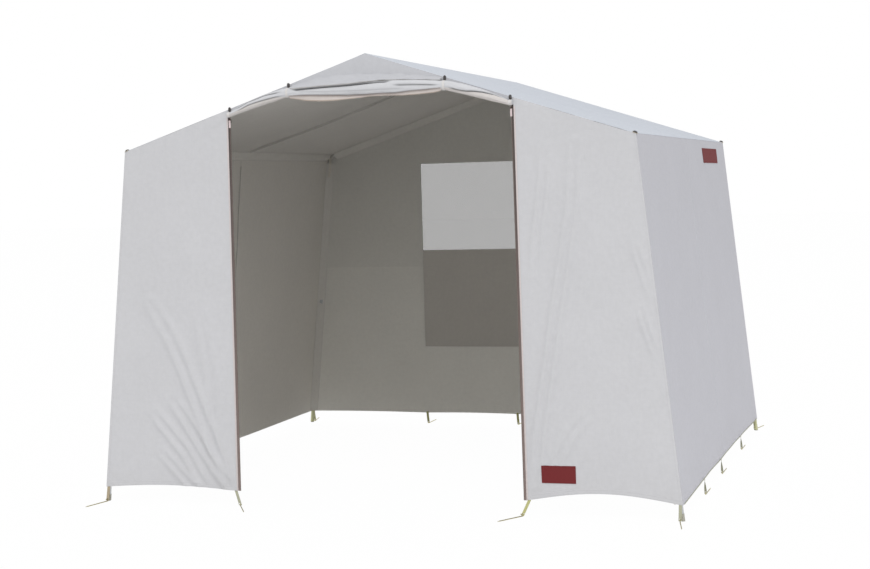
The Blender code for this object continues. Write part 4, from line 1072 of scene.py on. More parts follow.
def window():
    """Frosted pane sewn in the opening, and its binding."""
    half = WINDOW_HALF + PANE_SEAM
    y = REAR - CLOTH - GAP
    low, high = WINDOW_SILL - PANE_SEAM, WINDOW_TOP + PANE_SEAM
    columns, rows = spread([-half, half], 0.05), spread([low, high], 0.05)

    def place(x, z):
        edge = min(half - abs(x), z - low, high - z) - PANE_SEAM
        return Vector((x, y - abs(crinkle(x, z, 0.3, 0.003)) * ramp(edge, 0.1), z))

    pane = cloth("window_pane_film", columns, rows, place, (0, -1, 0), [FILM], thick=PANE, even=True)
    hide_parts("window_pane")
    window_binding(half, low, high, y - PANE - 0.0006)


def window_binding(half, low, high, face):
    """Strip of canvas that covers the pane's seam at both ends and the top."""
    inner, outer = WINDOW_HALF + BINDING_CLEAR, half + BINDING_LAP
    lintel = WINDOW_TOP + BINDING_CLEAR
    foot, head = low - BINDING_LAP / 2, high + BINDING_LAP
    columns = spread([-outer, BINDING_LAP - outer, -inner - FINE, -inner, inner, inner + FINE,
                      outer - BINDING_LAP, outer], 0.06)
    rows = spread([foot, lintel, lintel + FINE, high, head], 0.06)

    def opening(i, j):
        return abs(columns[i] + columns[i + 1]) < 2 * inner and rows[j] + rows[j + 1] < 2 * WINDOW_TOP

    binding = cloth("window_binding", columns, rows, lambda x, z: Vector((x, face, z)), (0, -1, 0),
                    [REAR_LINING], thick=0.0006, hole=opening, even=True)


def seam_flap(name, base, length, inward, drop):
    """Loose edge of a seam between two widths, which stands off the panel on the inside. base(share)
    is a point along the seam. A flap narrower than the least width keeps its area."""

    def place(share, down):
        start = base(share)
        sway = 0.003 * noise.noise(start * 4) * down
        return start + inward * (0.0002 + drop * down) + Vector((0, sway - 0.002 * down, 0))

    columns = spread([0, 1], 0.05 / length)
    piece = cloth(name, columns, (0, 0.35, 0.7, 1), place, (0, 1, 0), [SEAM_FLAP], thick=0.0010)


def seam_flaps():
    skin = CLOTH + SEAM_PROUD
    reach = 0.06
    for side, word in SIDES.items():
        roof_in, wall_in = roof_inward(side), wall_inward(side)
        length = roof_length() - 2 * reach
        seam_flap("roof_seam_flap_" + word,
                  lambda share: roof_point(side, reach + length * share, DEPTH / 2) + roof_in * skin,
                  length, roof_in, ROOF_FLAP)
        low, tall = HEM_HEIGHT + 0.01, EAVE_HEIGHT - HEM_HEIGHT - 0.08
        seam_flap("side_seam_flap_" + word,
                  lambda share: side_point(side, 0, low + tall * share) + wall_in * skin,
                  tall / cos(WALL_LEAN), wall_in, SIDE_FLAP)


# Rolled-up door, its ties and its zips

def toggle_height(tie):
    return roof_z(tie) - TIE_UNDER_ROOF


def tie_top(tie):
    """Height of the top of the roll under a tie."""
    return toggle_height(tie) - TOGGLE_HALF - TOGGLE_CLEAR


def roll_section(x):
    """Foot, top, depth and fullness of the rolled door at x."""
    level = STRAP_HALF + STRAP_EASE
    inner = (tie_top(TIE_INNER), ROLL_TALL_INNER, ROLL_DEEP_INNER)
    outer = (tie_top(TIE_OUTER), ROLL_TALL_OUTER, ROLL_DEEP_OUTER)
    reach = abs(x)
    if reach <= TIE_INNER - level:
        share = 0.5 + 0.5 * x / (TIE_INNER - level)
        start, end, rise, sag = inner, inner, ROLL_RISE_INNER, ROLL_SAG
    else:
        span = TIE_OUTER - TIE_INNER - 2 * level
        share = min(max((reach - TIE_INNER - level) / span, 0), 1)
        start, end, rise, sag = inner, outer, ROLL_RISE_OUTER, 0
    full = max(sin(pi * share), 0) ** 0.7
    top, tall, deep = (mix(low, high, share) for low, high in zip(start, end))
    return top - tall - sag * full, top + rise * full, mix(deep, ROLL_DEEP, full), full


def roll_turn(x, height):
    """Angle over level at which the roll's front reaches a height."""
    foot, top, _, _ = roll_section(x)
    return asin(min(max((2 * height - foot - top) / (top - foot), -0.93), 0.93))


def roll_creases(x):
    """Angle and depth of each crease at x, fading towards the ends of its line."""
    for line, deep in ROLL_CREASES:
        low, high = line[0][0], line[-1][0]
        if low < x < high:
            yield roll_turn(x, along_line(x, line)), deep * ramp(min(x - low, high - x), 0.05)


def roll_size(x, turn, creases):
    """Fullness of the roll at an angle: the layers bulge, and creases run between them."""
    aside = (turn + pi) % (2 * pi) - pi
    size = 1.0
    for middle, deep in creases:
        away = aside - middle
        size -= deep * exp(away / 0.30 if away < 0 else -away / 0.09)
    near = min(abs(abs(x) - TIE_INNER), abs(abs(x) - TIE_OUTER))
    free = ramp(near - STRAP_HALF, 0.02)
    size += 0.05 * free * noise.noise(Vector((x * 14, 2.2 * cos(turn), 2.2 * sin(turn))))
    pleats = 0.5 + 0.5 * sin(9 * turn + 2.2 * sin(40 * x))
    return size - 0.12 * pleats * free * bump(near, 0.075)


def roll_point(x, turn, out=0.0, creases=()):
    """Point on the roll's surface, or a little out from it."""
    foot, top, deep, _ = roll_section(x)
    middle, tall = (foot + top) / 2, (top - foot) / 2
    size = roll_size(x, turn, creases)
    away = Vector((0, -cos(turn) / deep, sin(turn) / tall)).normalized() * out
    rim = Vector((x, FRONT - GAP - deep - deep * size * cos(turn), middle + tall * size * sin(turn)))
    return rim + away


def door_roll():
    """The door wound up round itself."""
    level = STRAP_HALF + STRAP_EASE
    end = door_x(tie_top(TIE_OUTER)) - ROLL_END_MARGIN
    marks = [TIE_INNER - level, TIE_INNER + level, TIE_OUTER - level, end]
    stations = spread([-mark for mark in reversed(marks)] + marks, 0.008)
    sides = 88
    points = []
    rings = []
    slots = []
    soil = []
    for k, x in enumerate(stations):
        rings.append(range(len(points), len(points) + sides))
        creases = list(roll_creases(x))
        for i in range(sides):
            aside = (2 * pi * i / sides + pi) % (2 * pi) - pi
            soil.append((sum(deep / 0.3 * exp(-abs(aside - middle) / 0.11) for middle, deep in creases), 0))
        points += [roll_point(x, 2 * pi * i / sides, 0, creases) for i in range(sides)]
        edge = roll_turn(x, along_line(x, ROLL_EDGE))
        turns = [(2 * pi * (i + 0.5) / sides + pi) % (2 * pi) - pi for i in range(sides)]
        slots += [1 if -1.9 < turn < edge else 0 for turn in turns if k]
    faces = rings_to_faces(rings, sides) + [tuple(reversed(rings[0])), tuple(rings[-1])]
    piece = add_piece("door_roll_cloth", points, faces, [ROLL_CANVAS, ROLL_LINING],
                      slots=slots + [0, 0], sharp=60)
    lay_map(piece, "crease", np.minimum(np.array(soil), 1))
    lay_map(piece, "cut", np.array([(i * 0.15 / sides, x) for x in stations for i in range(sides)]))
    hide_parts("door_roll")


def door_lining():
    """The door's lining where it slips out of the roll and hangs under it, and the piped edge."""
    half = TIE_INNER - STRAP_HALF - 0.008

    def hang(x, v):
        foot, _, deep, full = roll_section(x)
        start = roll_point(x, roll_turn(x, along_line(x, ROLL_EDGE)) - 0.10, 0.0008)
        flutter = 0.0030 * sin(34 * x + 2 * sin(11 * x)) * full
        tip = Vector((x, FRONT - GAP - 1.45 * deep + flutter, min(along_line(x, LINER_FOOT), foot - 0.002)))
        knee = Vector((x, start.y + 0.001, mix(start.z, tip.z, 0.45)))
        return start * (1 - v) ** 2 + knee * (2 * v * (1 - v)) + tip * v * v

    columns = spread([-half, half], 0.010)
    rows = spread([0, 0.80, 0.802, 1], 0.10)
    swag = cloth("door_lining_swag", columns, rows, hang, (0, 1, 0),
                 [DOOR_LINING, DOOR_LINING, DOOR_LINING_EDGE, DOOR_LINING_EDGE],
                 bands=(("v", 0.802, 1, False),))
    path = [roll_point(x, roll_turn(x, along_line(x, ROLL_EDGE)), 0.0012) for x in columns]
    rod("door_edge_piping", path, 0.0021, PIPING, 8)


def gable_fold():
    """Slack canvas over the door, which folds forward over the top of the roll."""

    def place(x, k):
        lip, crest = along_line(x, GABLE_LIP), along_line(x, GABLE_CREST)
        foot, top, deep, _ = roll_section(x)
        turn = asin(min((2 * lip - foot - top) / (top - foot), 1))
        over = 0.010 * ramp(0.30 - x, 0.25) * ramp(x + 0.395, 0.06)
        reach = GAP + deep * (1 + cos(turn)) + 0.0022 + over
        tall = crest - lip
        spots = ((0.0012, crest), (0.05 * reach + 0.001, lip + 0.80 * tall),
                 (0.22 * reach, lip + 0.52 * tall), (0.60 * reach, lip + 0.20 * tall + 0.002),
                 (0.90 * reach, lip + 0.008), (reach, lip + 0.003), (0.995 * reach, lip),
                 (reach - 0.004, lip - 0.001), (reach - 0.009, lip + 0.001))
        ripple = 0.0012 * sin(60 * x + k) * (0 < k < 6)
        return Vector((x, FRONT - spots[k][0] + ripple, spots[k][1]))

    half = GABLE_LIP[-1][0]
    piece = cloth("gable_fold_canvas", spread([-half, half], 0.010), range(9), place, (0, 1, 0),
                  [GABLE_CANVAS, LINING])


def strap_path(tie):
    """Outer face of a tie in the plane across the roll, and the way in from it."""
    foot, top, deep, _ = roll_section(tie)
    middle, tall = (foot + top) / 2, (top - foot) / 2
    face = FRONT - GAP - CLOTH
    back = Vector((0, 1, 0))
    high = toggle_height(tie) + 0.0065
    levels = [high, high - 0.004, high - 0.009, top + GAP + 3 * CLOTH]
    path = [(Vector((0, face, z)), back) for z in levels]
    for k in range(19):
        turn = pi / 2 - radians(202) * k / 18
        out = Vector((0, -cos(turn) / deep, sin(turn) / tall)).normalized()
        rim = Vector((0, FRONT - GAP - deep - deep * cos(turn), middle + tall * sin(turn)))
        path.append((rim + out * (GAP + CLOTH), -out))
    return path


def tie_toggle(end, centre):
    """Flat oval barrel on its stem, which turns on the tie."""
    profile = []
    for k in range(25):
        share = -cos(pi * k / 24)
        waist = 0.0005 * bump(share, 0.25)
        profile.append((TOGGLE_RADIUS * (1 - abs(share) ** 2.6) ** 0.5 - waist * (0 < k < 24),
                        share * TOGGLE_HALF))
    points, faces = lathe_parts(profile, (0, 0, 0), (0, 0, 1))
    points = [centre + Vector((p.x * TOGGLE_OVAL, p.y, p.z)) for p in points]
    long = FRONT - GAP - centre.y
    stem = [(0, 0), (0.0015, 0), (0.0015, long), (0, long)]
    points, faces = merge([(points, faces), lathe_parts(stem, centre, (0, 1, 0), 12)])
    barrel = add_piece("toggle_barrel_" + end, points, faces, [TOGGLE], "toggle_" + end)
    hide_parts("toggle_" + end)


def door_ties():
    columns = [-STRAP_HALF, -STRAP_HALF * 0.86, 0, STRAP_HALF * 0.86, STRAP_HALF]
    for side in SIDES:
        for word, tie in (("inner", TIE_INNER), ("outer", TIE_OUTER)):
            end = "%s_%s" % (word, SIDES[side])
            path = strap_path(tie)

            def place(aside, k):
                return Vector((side * tie + aside, 0, 0)) + path[k][0]

            strap = cloth("tie_webbing_" + end, columns, range(len(path)), place, ways_in(path), [STRAP],
                          even=True)
            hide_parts("tie_strap_" + end)
            y = FRONT - GAP - CLOTH - GAP - TOGGLE_RADIUS
            tie_toggle(end, Vector((side * tie, y, toggle_height(tie))))


def tape_face():
    """The tape's outer face, just inside the canvas."""
    return FRONT + CLOTH + GAP


def slider_height():
    return tie_top(TIE_OUTER) - ROLL_TALL_OUTER - SLIDER_UNDER_ROLL - SLIDER_TALL / 2


def zip_tape(side, end):
    """Tape along the door's edge; returns the height of its top."""
    clear = CLOTH + GAP + GABLE_BAND * cos(ROOF_PITCH) + GAP
    chain = CHAIN_WIDE - TAPE_REACH
    top = under_roof(door_x(0) - TAPE_REACH, door_slope(), clear)

    def place(aside, share):
        high = under_roof(door_x(0) + aside, door_slope(), clear)
        height = mix(HEM_HEIGHT, high, share)
        return Vector((side * (door_x(height) + aside), tape_face(), height))

    columns = [-TAPE_REACH, chain - 0.0008, chain, 0, TAPE_LAP - 0.002, TAPE_LAP]
    tape = cloth("zip_tape_cloth_" + end, columns, spread([0, 1], 0.02), place, (0, 1, 0),
                 [ZIP_TAPE], thick=TAPE, even=True)
    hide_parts("zip_tape_" + end)
    return top


def zip_teeth(side, end, top):
    """Row of teeth on the tape's edge."""
    parts = []
    pitch = 0.0030
    low, high = tape_face() - CHAIN_PROUD, tape_face() + TAPE + CHAIN_PROUD
    for k in range(int((top - HEM_HEIGHT) / pitch) - 1):
        z = HEM_HEIGHT + pitch * (k + 0.6)
        near = door_x(z) - TAPE_REACH
        a, b = sorted((side * (near + 0.0001), side * (near + CHAIN_WIDE)))
        parts.append(block_parts((a, low, z - 0.0009), (b, high, z + 0.0009)))
    points, faces = merge(parts)
    teeth = add_piece("zip_teeth_" + end, points, faces, [TEETH])


def door_binding(side, end, top):
    """Narrow binding on the canvas beside the tape, declared at the least width with its own area."""

    def place(aside, height):
        return Vector((side * (door_x(height) + aside), FRONT - SEAM_PROUD - 0.0008, height))

    foot = HEM_HEIGHT + 0.001
    head = top - 0.012
    columns = [0.0, DOOR_BINDING / 2, DOOR_BINDING]
    binding = cloth("door_binding_" + end, columns, spread([foot, head], 0.03), place, (0, 1, 0),
                    [BINDING], thick=0.0007, even=True)


def zip_pull(side, end):
    """Tab of webbing doubled over the slider's knuckle."""
    height = slider_height()
    aside = -TAPE_REACH - GAP - SLIDER_PLATE + (SLIDER_WIDE + GAP + SLIDER_PLATE) / 2
    face = tape_face() - CHAIN_PROUD - GAP - SLIDER_PLATE
    hinge = Vector((side * (door_x(height) + aside), face - BRIDGE_REACH, height))
    foot = hinge.z - PULL_LENGTH
    heights = [mix(foot, hinge.z - 0.004, k / 6) for k in range(7)]
    path = [(Vector((hinge.x, hinge.y + 0.0002, z)), Vector((0, -1, 0))) for z in heights]
    for k in range(13):
        turn = pi * (0.05 + 0.90 * k / 12)
        out = Vector((0, cos(turn), sin(turn)))
        path.append((hinge + out * KNUCKLE_RADIUS, -out))
    path += [(Vector((hinge.x, hinge.y - 0.0012, z)), Vector((0, 1, 0))) for z in reversed(heights)]

    def place(across, k):
        return path[k][0] + Vector((across, 0, 0))

    half = PULL_WIDE / 2
    pull = cloth("zip_pull_tab_" + end, (-half, -0.7 * half, 0.7 * half, half), range(len(path)), place,
                 ways_in(path), [PULL_TAB], thick=0.0006, body="zip_pull_" + end, even=True)
    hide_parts("zip_pull_" + end)


def door_zip(side):
    """Tape along the door's edge with its row of teeth, the binding beside it, and the webbing pull."""
    end = SIDES[side]
    top = zip_tape(side, end)
    zip_teeth(side, end, top)
    door_binding(side, end, top)
    zip_pull(side, end)


def blind():
    """Canvas blind that hangs from its beaded upper edge, hemmed at the sides and the foot."""
    y = REAR - CLOTH - GAP - PANE - GAP - BLIND_BEAD
    hinge = WINDOW_SILL - BLIND_HINGE_DROP
    foot = hinge - BLIND_DROP

    def place(x, z):
        wave = abs(crinkle(x, z, 0.25, 0.006)) + 0.002 * (0.5 + 0.5 * sin(16 * x))
        free = ramp(min(z - foot, hinge - z), 0.10)
        return Vector((x, y + CLOTH / 2 - wave * free, z))

    half = WINDOW_HALF
    side_hem = half - BLIND_SIDE_HEM
    columns = spread(hemmed(-half, half, BLIND_SIDE_HEM), STEP)
    rows = spread([foot, foot + BLIND_HEM, foot + BLIND_HEM + FINE, hinge - 0.002], STEP)
    bands = (("u", -half, -side_hem, False), ("u", side_hem, half, False),
             ("v", foot, foot + BLIND_HEM, False))
    piece = cloth("blind_cloth", columns, rows, place, (0, -1, 0), BLIND_CLOTH, bands=bands,
                  body="window_blind", even=True)
    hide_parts("window_blind")
    path = [Vector((x, y, hinge)) for x in spread([-half, half], 0.08)]
    bead = rod("blind_bead", path, BLIND_BEAD, BLIND_CANVAS, 14, "window_blind")


# Sleeves of canvas round the poles

def turn_of(point, ahead):
    """Angle of the tangent point on the sleeve's round, seen from an edge point, on the room side."""
    aim = atan2(point[1], point[0])
    open_angle = atan2(sqrt(point[0] ** 2 + point[1] ** 2 - SLEEVE_RADIUS ** 2), SLEEVE_RADIUS)
    choices = (aim + open_angle, aim - open_angle)
    return max(choices, key=lambda turn: cos(turn - ahead))


def sleeve(name, start, end, first_in, second_in, feet=(SLEEVE_FOOT, SLEEVE_FOOT), slit=None):
    """Strip of canvas sewn to two panels across their corner, with a pole held behind it.

    first_in and second_in point from the panels into the tent, square to the pole. feet are the
    distances of its two edges from the pole, and slit is how far along it a wing screw comes through."""
    along = (end - start).normalized()
    length = (end - start).length
    room = (first_in + second_in).normalized()
    side = along.cross(room)
    seat = TUBE_RADIUS + GAP - SLEEVE_CLOTH - 0.0002
    halves = []
    for inward, other, reach in ((first_in, second_in, feet[0]), (second_in, first_in, feet[1])):
        way = (other - inward * other.dot(inward)).normalized()
        spots = [way * far - inward * seat for far in (reach, reach - SLEEVE_EDGE)]
        spots = [(spot.dot(room), spot.dot(side)) for spot in spots]
        turn = (turn_of(spots[1], 0.0) + pi) % (2 * pi) - pi
        touch = (SLEEVE_RADIUS * cos(turn), SLEEVE_RADIUS * sin(turn))
        if slit and abs(touch[1]) < SCREW_SLIT < abs(spots[1][1]):
            share = (SCREW_SLIT - abs(touch[1])) / (abs(spots[1][1]) - abs(touch[1]))
            spots.append(tuple(mix(near, far, share) for near, far in zip(touch, spots[1])))
        halves.append((spots, turn))
    (first, start_turn), (second, end_turn) = halves
    arc = [mix(start_turn, end_turn, k / 8) for k in range(9)]
    line = first + [(SLEEVE_RADIUS * cos(turn), SLEEVE_RADIUS * sin(turn)) for turn in arc]
    line += list(reversed(second))

    def place(k, share):
        height, aside = line[k]
        if len(first) <= k < len(line) - len(second):
            height += 0.0007 * abs(noise.noise(start * 3 + along * (share * length * 14)))
        return start + along * (length * share) + room * height + side * aside

    marks = [0, 1]
    if slit:
        low, high = (slit - SCREW_SLIT) / length, (slit + SCREW_SLIT) / length
        marks = [0, low, high, 1]
    rows = spread(marks, 0.04 / length)

    def at_screw(i, j):
        within = max(abs(line[i][1]), abs(line[i + 1][1])) <= SCREW_SLIT + 1e-6
        return bool(slit) and within and low - 1e-6 <= rows[j] and rows[j + 1] <= high + 1e-6

    piece = cloth(name, range(len(line)), rows, place, room, [SLEEVE_CANVAS], thick=SLEEVE_CLOTH,
                  hole=at_screw)


def sleeves():
    free = STUB + 0.004
    for end in ENDS:
        into = Vector((0, -end, 0))
        apex = apex_node(end)
        gable_foot = SLEEVE_FOOT if end > 0 else GABLE_SLEEVE_FOOT
        for side in SIDES:
            place = "%s_%s" % (ENDS[end], SIDES[side])
            node = eave_node(side, end)
            rafter = rafter_axis(side) * free
            sleeve("rafter_sleeve_" + place, node + rafter, apex - rafter, roof_inward(side), into,
                   (SLEEVE_FOOT, gable_foot))
            leg = leg_axis(side)
            foot = (node.z - HEM_HEIGHT - 0.006) / cos(WALL_LEAN)
            sleeve("leg_sleeve_" + place, node + leg * free, node + leg * foot, wall_inward(side), into,
                   slit=SCREW_DISTANCE - free)
    reach = Vector((0, free, 0))
    for side, word in SIDES.items():
        front, rear = (eave_node(side, end) for end in ENDS)
        sleeve("eave_sleeve_" + word, front + reach, rear - reach, wall_inward(side),
               roof_inward(side))
    sleeve("ridge_sleeve", apex_node(-1) + reach, apex_node(1) - reach, roof_inward(-1), roof_inward(1))


# Hem loops and pegs

def hem_loop(name, foot, out, material, rise=0.0, half=LOOP_SLOT_HALF + LOOP_SIDE, sidestep=0.0,
             twist=0.0, lean=LOOP_LEAN):
    """Webbing that comes out of the hem and goes down to the bar that the peg hooks. foot is the
    middle of the hem there, out points away from the wall, rise is the wall's lean per metre, lean is
    how far the loop is pulled outward, and twist is how far it turns on its way down."""
    along = Vector((0, 0, 1)).cross(out).normalized()
    slot = LOOP_SLOT_HALF
    low = 0.0056
    levels = [low, low + LOOP_BAR, low + LOOP_BAR + 0.0062, 0.024, 0.034, 0.044, 0.054, 0.064, HEM_HEIGHT,
              HEM_HEIGHT + LOOP_TUCK]

    def place(aside, level):
        z = levels[level]
        down = min(max((HEM_HEIGHT - z) / (HEM_HEIGHT - low), 0), 1)
        away = lean * down ** 1.2 - 0.0001 - rise * (z - HEM_HEIGHT)
        across = Matrix.Rotation(twist * min(down / 0.82, 1), 3, "Z") @ along
        return Vector((foot.x, foot.y, z)) + out * away + across * aside + along * sidestep * down

    columns = (-half, -slot, 0, slot, half)
    piece = cloth(name, columns, range(len(levels)), place, -out, [material],
                  hole=lambda i, j: i in (1, 2) and j == 1)


def hem_peg(name, bar_middle, outward):
    """Bent wire peg that lies on the ground, hooked over a loop's bar."""
    slant = max(abs(outward.y), abs(outward.x))
    back = (CLOTH / 2 + PEG_RADIUS * sqrt(max(1 - slant * slant, 0)) + GAP) / slant
    low = GAP + PEG_RADIUS
    turn_radius = PEG_RADIUS + GAP + LOOP_BAR / 2
    heel = Vector((bar_middle.x, bar_middle.y, 0)) - outward * back
    up = Vector((0, 0, 1))
    path = [heel + outward * PEG_LENGTH + up * low, heel + outward * (PEG_LENGTH - PEG_POINT) + up * low]
    for k in range(13):
        turn = pi * k / 12
        lift = low + turn_radius - turn_radius * cos(turn)
        path.append(heel - outward * turn_radius * sin(turn) + up * lift)
    path.append(heel + outward * (back + PEG_RETURN) + up * (low + 2 * turn_radius))
    radii = [PEG_RADIUS * 0.3] + [PEG_RADIUS] * (len(path) - 1)
    peg = rod("hem_peg_" + name, path, radii, PEG_STEEL, 12)


def pole_cuff(side):
    """Webbing that comes down from the corner strip round the inner side of a rear leg's foot."""
    node, leg = eave_node(side, 1), leg_axis(side)
    facing = radians(20)
    first = (Vector((0, -1, 0)) * cos(facing) + wall_inward(side) * sin(facing)).normalized()
    second = leg.cross(first)
    low = (node.z - 0.004) / cos(WALL_LEAN)
    high = (node.z - HEM_HEIGHT - 0.014) / cos(WALL_LEAN)
    radius = TUBE_RADIUS + 0.0005

    def place(turn, share):
        out = first * cos(turn) + second * sin(turn)
        return node + leg * mix(low, high, share) + out * radius

    turns = [radians(angle) for angle in range(-80, 81, 16)]
    piece = cloth("pole_cuff_rear_" + SIDES[side], turns, spread([0, 1], 0.12), place, first,
                  [CUFF_WEBBING], thick=0.0009)


def hem_fittings():
    corner_x = wall_x(HEM_HEIGHT) - LOOP_INSET
    door_loop_x = door_x(HEM_HEIGHT) + LOOP_INSET
    finishes = {(-1, -1): (LOOP, 0.0080), (-1, 1): (GREY_LOOP, 0.0076), (1, -1): (GREEN_LOOP, 0.0076),
                (1, 1): (GREEN_LOOP, 0.0100)}
    for (end, side), (material, half) in finishes.items():
        foot = Vector((side * corner_x, end * REAR, 0))
        hem_loop("corner_loop_%s_%s" % (ENDS[end], SIDES[side]), foot, Vector((0, end, 0)), material,
                 half=half)
        if end > 0:
            pole_cuff(side)
    for side, word in SIDES.items():
        foot = Vector((side * door_loop_x, FRONT, 0))
        hem_loop("door_loop_" + word, foot, Vector((0, -1, 0)), GREEN_LOOP if side > 0 else GREY_LOOP,
                 sidestep=-side * DOOR_LOOP_SIDESTEP)
    for place, x in REAR_STOPS.items():
        out = Vector((0, 1, 0))
        hem_loop("hem_loop_rear_" + place, Vector((x, REAR, 0)), out, GREEN_LOOP)
        hem_peg("rear_" + place, Vector((x, REAR + LOOP_LEAN, 0)), out)
    for side, word in SIDES.items():
        hem_cord(side)
        for k, y in enumerate(HEM_STOPS[side]):
            name = "%s_%d" % (word, k + 1)
            foot = Vector((side * wall_x(HEM_HEIGHT), y, 0))
            hem_loop("hem_loop_" + name, foot, Vector((side, 0, 0)), GREY_LOOP,
                     rise=tan(WALL_LEAN), half=SIDE_LOOP_HALF, twist=side * SIDE_LOOP_TWIST,
                     lean=SIDE_LOOP_LEAN)
            bar = Vector((side * (wall_x(0.006) + SIDE_LOOP_LEAN), y, 0))
            hem_peg(name, bar, Vector((side * cos(SIDE_LOOP_TWIST), sin(SIDE_LOOP_TWIST), 0)))


def hem_cord(side):
    """Thin cord of webbing along the foot of a side wall, between the outer loops."""
    stops = [FRONT + CLOTH + GAP, *HEM_STOPS[side], REAR - CLOTH - GAP]
    path = []
    for y in spread([FRONT + 0.03, REAR - 0.03], 0.04):
        spot = side_point(side, y, HEM_HEIGHT + scallop(y, stops, SIDE_SCALLOP) + 0.0012)
        path.append(spot - wall_inward(side) * 0.0024)
    cord = rod("hem_cord_%s" % SIDES[side], path, 0.0016, GREY_LOOP, 8)


def sewn_patch(name, place, wide, high, towards):
    """Plain patch sewn on the canvas. place(u, v) takes distances from its middle."""
    half, tall = wide / 2, high / 2
    edge = 0.006
    columns = spread(hemmed(-half, half, edge), 0.02)
    rows = spread(hemmed(-tall, tall, edge), 0.02)
    bands = (("u", -half, edge - half, False), ("u", half - edge, half, False),
             ("v", -tall, edge - tall, False), ("v", tall - edge, tall, False))
    piece = cloth(name, columns, rows, place, towards, [PATCH, PATCH, PATCH_HEM, PATCH_HEM], thick=0.0006,
                  bands=bands, even=True)


def sewn_details():
    """A plain patch on the right front panel and one on the right wall, and the tie tape of a corner."""

    def on_front(u, v):
        x, z = FRONT_PATCH[0] + u, FRONT_PATCH[1] + v
        return Vector((x, FRONT - front_lift(1, x, z) - 0.0013, z))

    sewn_patch("front_patch", on_front, 0.165, PATCH_TALL, (0, 1, 0))
    inward = wall_inward(1)

    def on_wall(u, v):
        return side_point(1, SIDE_PATCH[0] + u, SIDE_PATCH[1] + v) - inward * 0.0013

    sewn_patch("side_patch", on_wall, 0.560, PATCH_TALL, inward)

    def hang(across, share):
        sway = 0.004 * sin(2.6 * share)
        turn = 0.5 * share
        x = wall_x(mix(1.806, 1.666, share)) - 0.021 - sway
        way = Vector((cos(turn), sin(turn), 0))
        return Vector((-x, REAR - 0.037 - 0.003 * share, mix(1.786, 1.656, share))) + way * across

    half = TIE_TAPE_WIDE / 2
    tape = cloth("corner_tie_tape", (-half, 0, half), spread([0, 1], 0.1), hang, (0, 1, 0), [TIE_TAPE])


def roof_studs():
    """Round cap over each of the frame's spikes, in the eyelet of the roof."""
    seat = FRAME_INSET + GAP
    cap_line = [(0, seat + 0.0002)]
    cap_line += [(CAP_RADIUS + wide, seat + up) for wide, up in (
        (0.0004, 0.0002), (0.0014, 0.0012), (0.0010, 0.5 * CAP_HEIGHT), (-0.0014, 0.86 * CAP_HEIGHT),
        (-0.0055, CAP_HEIGHT + 0.0006))]
    cap_line.append((0, seat + CAP_HEIGHT + 0.0008))
    ring = [(EYELET_BORE + wide, FRAME_INSET + up) for wide, up in (
        (0.0036, -0.0006), (0.0042, -0.0006), (0.0040, 0.0008), (0.0020, 0.0014), (0, 0.0006),
        (0, -0.0006), (0.0036, -0.0006))]
    for end in ENDS:
        for side in SIDES:
            place = "%s_%s" % (ENDS[end], SIDES[side])
            node, out = eave_node(side, end), -roof_inward(side)
            points, faces = lathe_parts(cap_line, node, out, 28)
            cap = add_piece("stud_cap_" + place, points, faces, [CAP], sharp=50)
            points, faces = lathe_parts(ring, node, out, 32)
            eyelet = add_piece("roof_eyelet_" + place, points, faces, [EYELET], sharp=50)


# Stage, light and camera

VIEW_PLACE = (2.7583, -8.9253, 1.5917)
VIEW_TURN = (0.3135, -0.0609, -0.0283)  # yaw, pitch and roll
FOCAL_PIXELS = 1645.57
PHOTO_WIDE = 870.0
SENSOR = 36.0
FLOOR_HALF = 60.0
LAMP_AIM = Vector((0, -1.0, 1.0))
LAMP_WAY = Vector((0.20, -0.59, 0.80))
LAMP_AWAY = 24.0


def make_camera():
    """Camera at the photograph's viewpoint, about eye height in front of the tent."""
    yaw, pitch, roll = VIEW_TURN
    ahead = Vector((-sin(yaw) * cos(pitch), cos(yaw) * cos(pitch), sin(pitch)))
    level = Vector((cos(yaw), sin(yaw), 0))
    lift = level.cross(ahead)
    right = level * cos(roll) + lift * sin(roll)
    up = lift * cos(roll) - level * sin(roll)
    view = bpy.data.cameras.new("view")
    view.sensor_width = SENSOR
    view.lens = SENSOR * FOCAL_PIXELS / PHOTO_WIDE
    view.clip_end = 200.0
    camera = bpy.data.objects.new("view", view)
    turn = Matrix((right, up, -ahead)).transposed().to_4x4()
    camera.matrix_world = Matrix.Translation(VIEW_PLACE) @ turn
    bpy.context.scene.collection.objects.link(camera)
    bpy.context.scene.camera = camera


def white_to_viewer(tree):
    """1 for rays that come from the camera, a mirror or a clear film, so that they see plain white."""
    path = wire(tree, "LightPath").outputs
    seen = sums(tree, "MAXIMUM", path["Is Camera Ray"], path["Is Glossy Ray"])
    return sums(tree, "MAXIMUM", seen, path["Is Transmission Ray"])


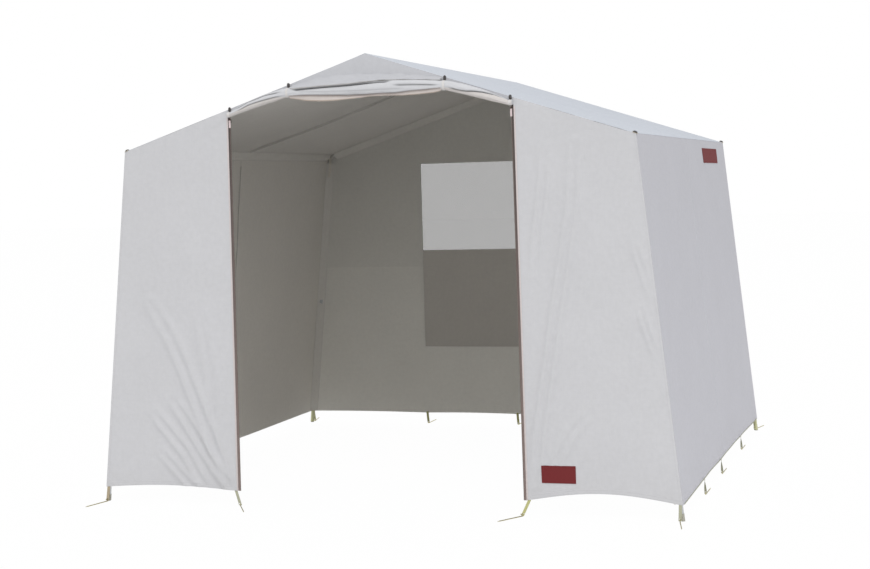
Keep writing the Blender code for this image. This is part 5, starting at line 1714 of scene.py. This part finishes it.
def make_floor():
    """White paper under the tent, which takes its shadow."""
    corners = [(x * FLOOR_HALF, y * FLOOR_HALF, 0) for x, y in ((-1, -1), (1, -1), (1, 1), (-1, 1))]
    mesh = bpy.data.meshes.new("floor")
    mesh.from_pydata(corners, [], [(0, 1, 2, 3)])
    floor = bpy.data.objects.new("floor", mesh)
    bpy.context.scene.collection.objects.link(floor)
    paper = bpy.data.materials.new("floor_paper")
    paper.use_nodes = True
    tree = paper.node_tree
    shader = tree.nodes["Principled BSDF"]
    shader.inputs["Roughness"].default_value = 1.0
    shader.inputs["Specular IOR Level"].default_value = 0.0
    shader.inputs["Base Color"].default_value = (0.88, 0.88, 0.88, 1)
    glow = wire(tree, "Emission", {"Color": (1, 1, 1, 1), "Strength": 1.0})
    share = sums(tree, "MULTIPLY", white_to_viewer(tree), 0.985)
    both = wire(tree, "MixShader", {0: share, 1: shader.outputs[0], 2: glow.outputs[0]})
    tree.links.new(both.outputs[0], tree.nodes["Material Output"].inputs["Surface"])
    mesh.materials.append(paper)


def make_light():
    """Even light from all round, and one large soft lamp."""
    world = bpy.data.worlds.new("studio")
    bpy.context.scene.world = world
    world.use_nodes = True
    tree = world.node_tree
    background = tree.nodes["Background"]
    background.inputs["Color"].default_value = (1, 1, 1, 1)
    strength = mapped(tree, white_to_viewer(tree), 0.0, 1.0, 0.78, 1.0)
    tree.links.new(strength, background.inputs["Strength"])

    lamp = bpy.data.lights.new("soft_lamp", "AREA")
    lamp.shape = "DISK"
    lamp.size = 9.0
    lamp.energy = 1950.0
    light = bpy.data.objects.new("soft_lamp", lamp)
    light.location = LAMP_AIM + LAMP_WAY.normalized() * LAMP_AWAY
    light.rotation_euler = (-LAMP_WAY).to_track_quat("-Z", "Y").to_euler()
    bpy.context.scene.collection.objects.link(light)
    bpy.context.scene.view_settings.view_transform = "Standard"


make_camera()
make_floor()
make_light()
dress_frame()
for side in SIDES:
    roof(side)
    side_wall(side)
    front_wall(side)
rear_wall()
gable_top()
seam_flaps()
window()
blind()
door_roll()
door_lining()
gable_fold()
door_ties()
for side in SIDES:
    door_zip(side)
sleeves()
hem_fittings()
sewn_details()
roof_studs()
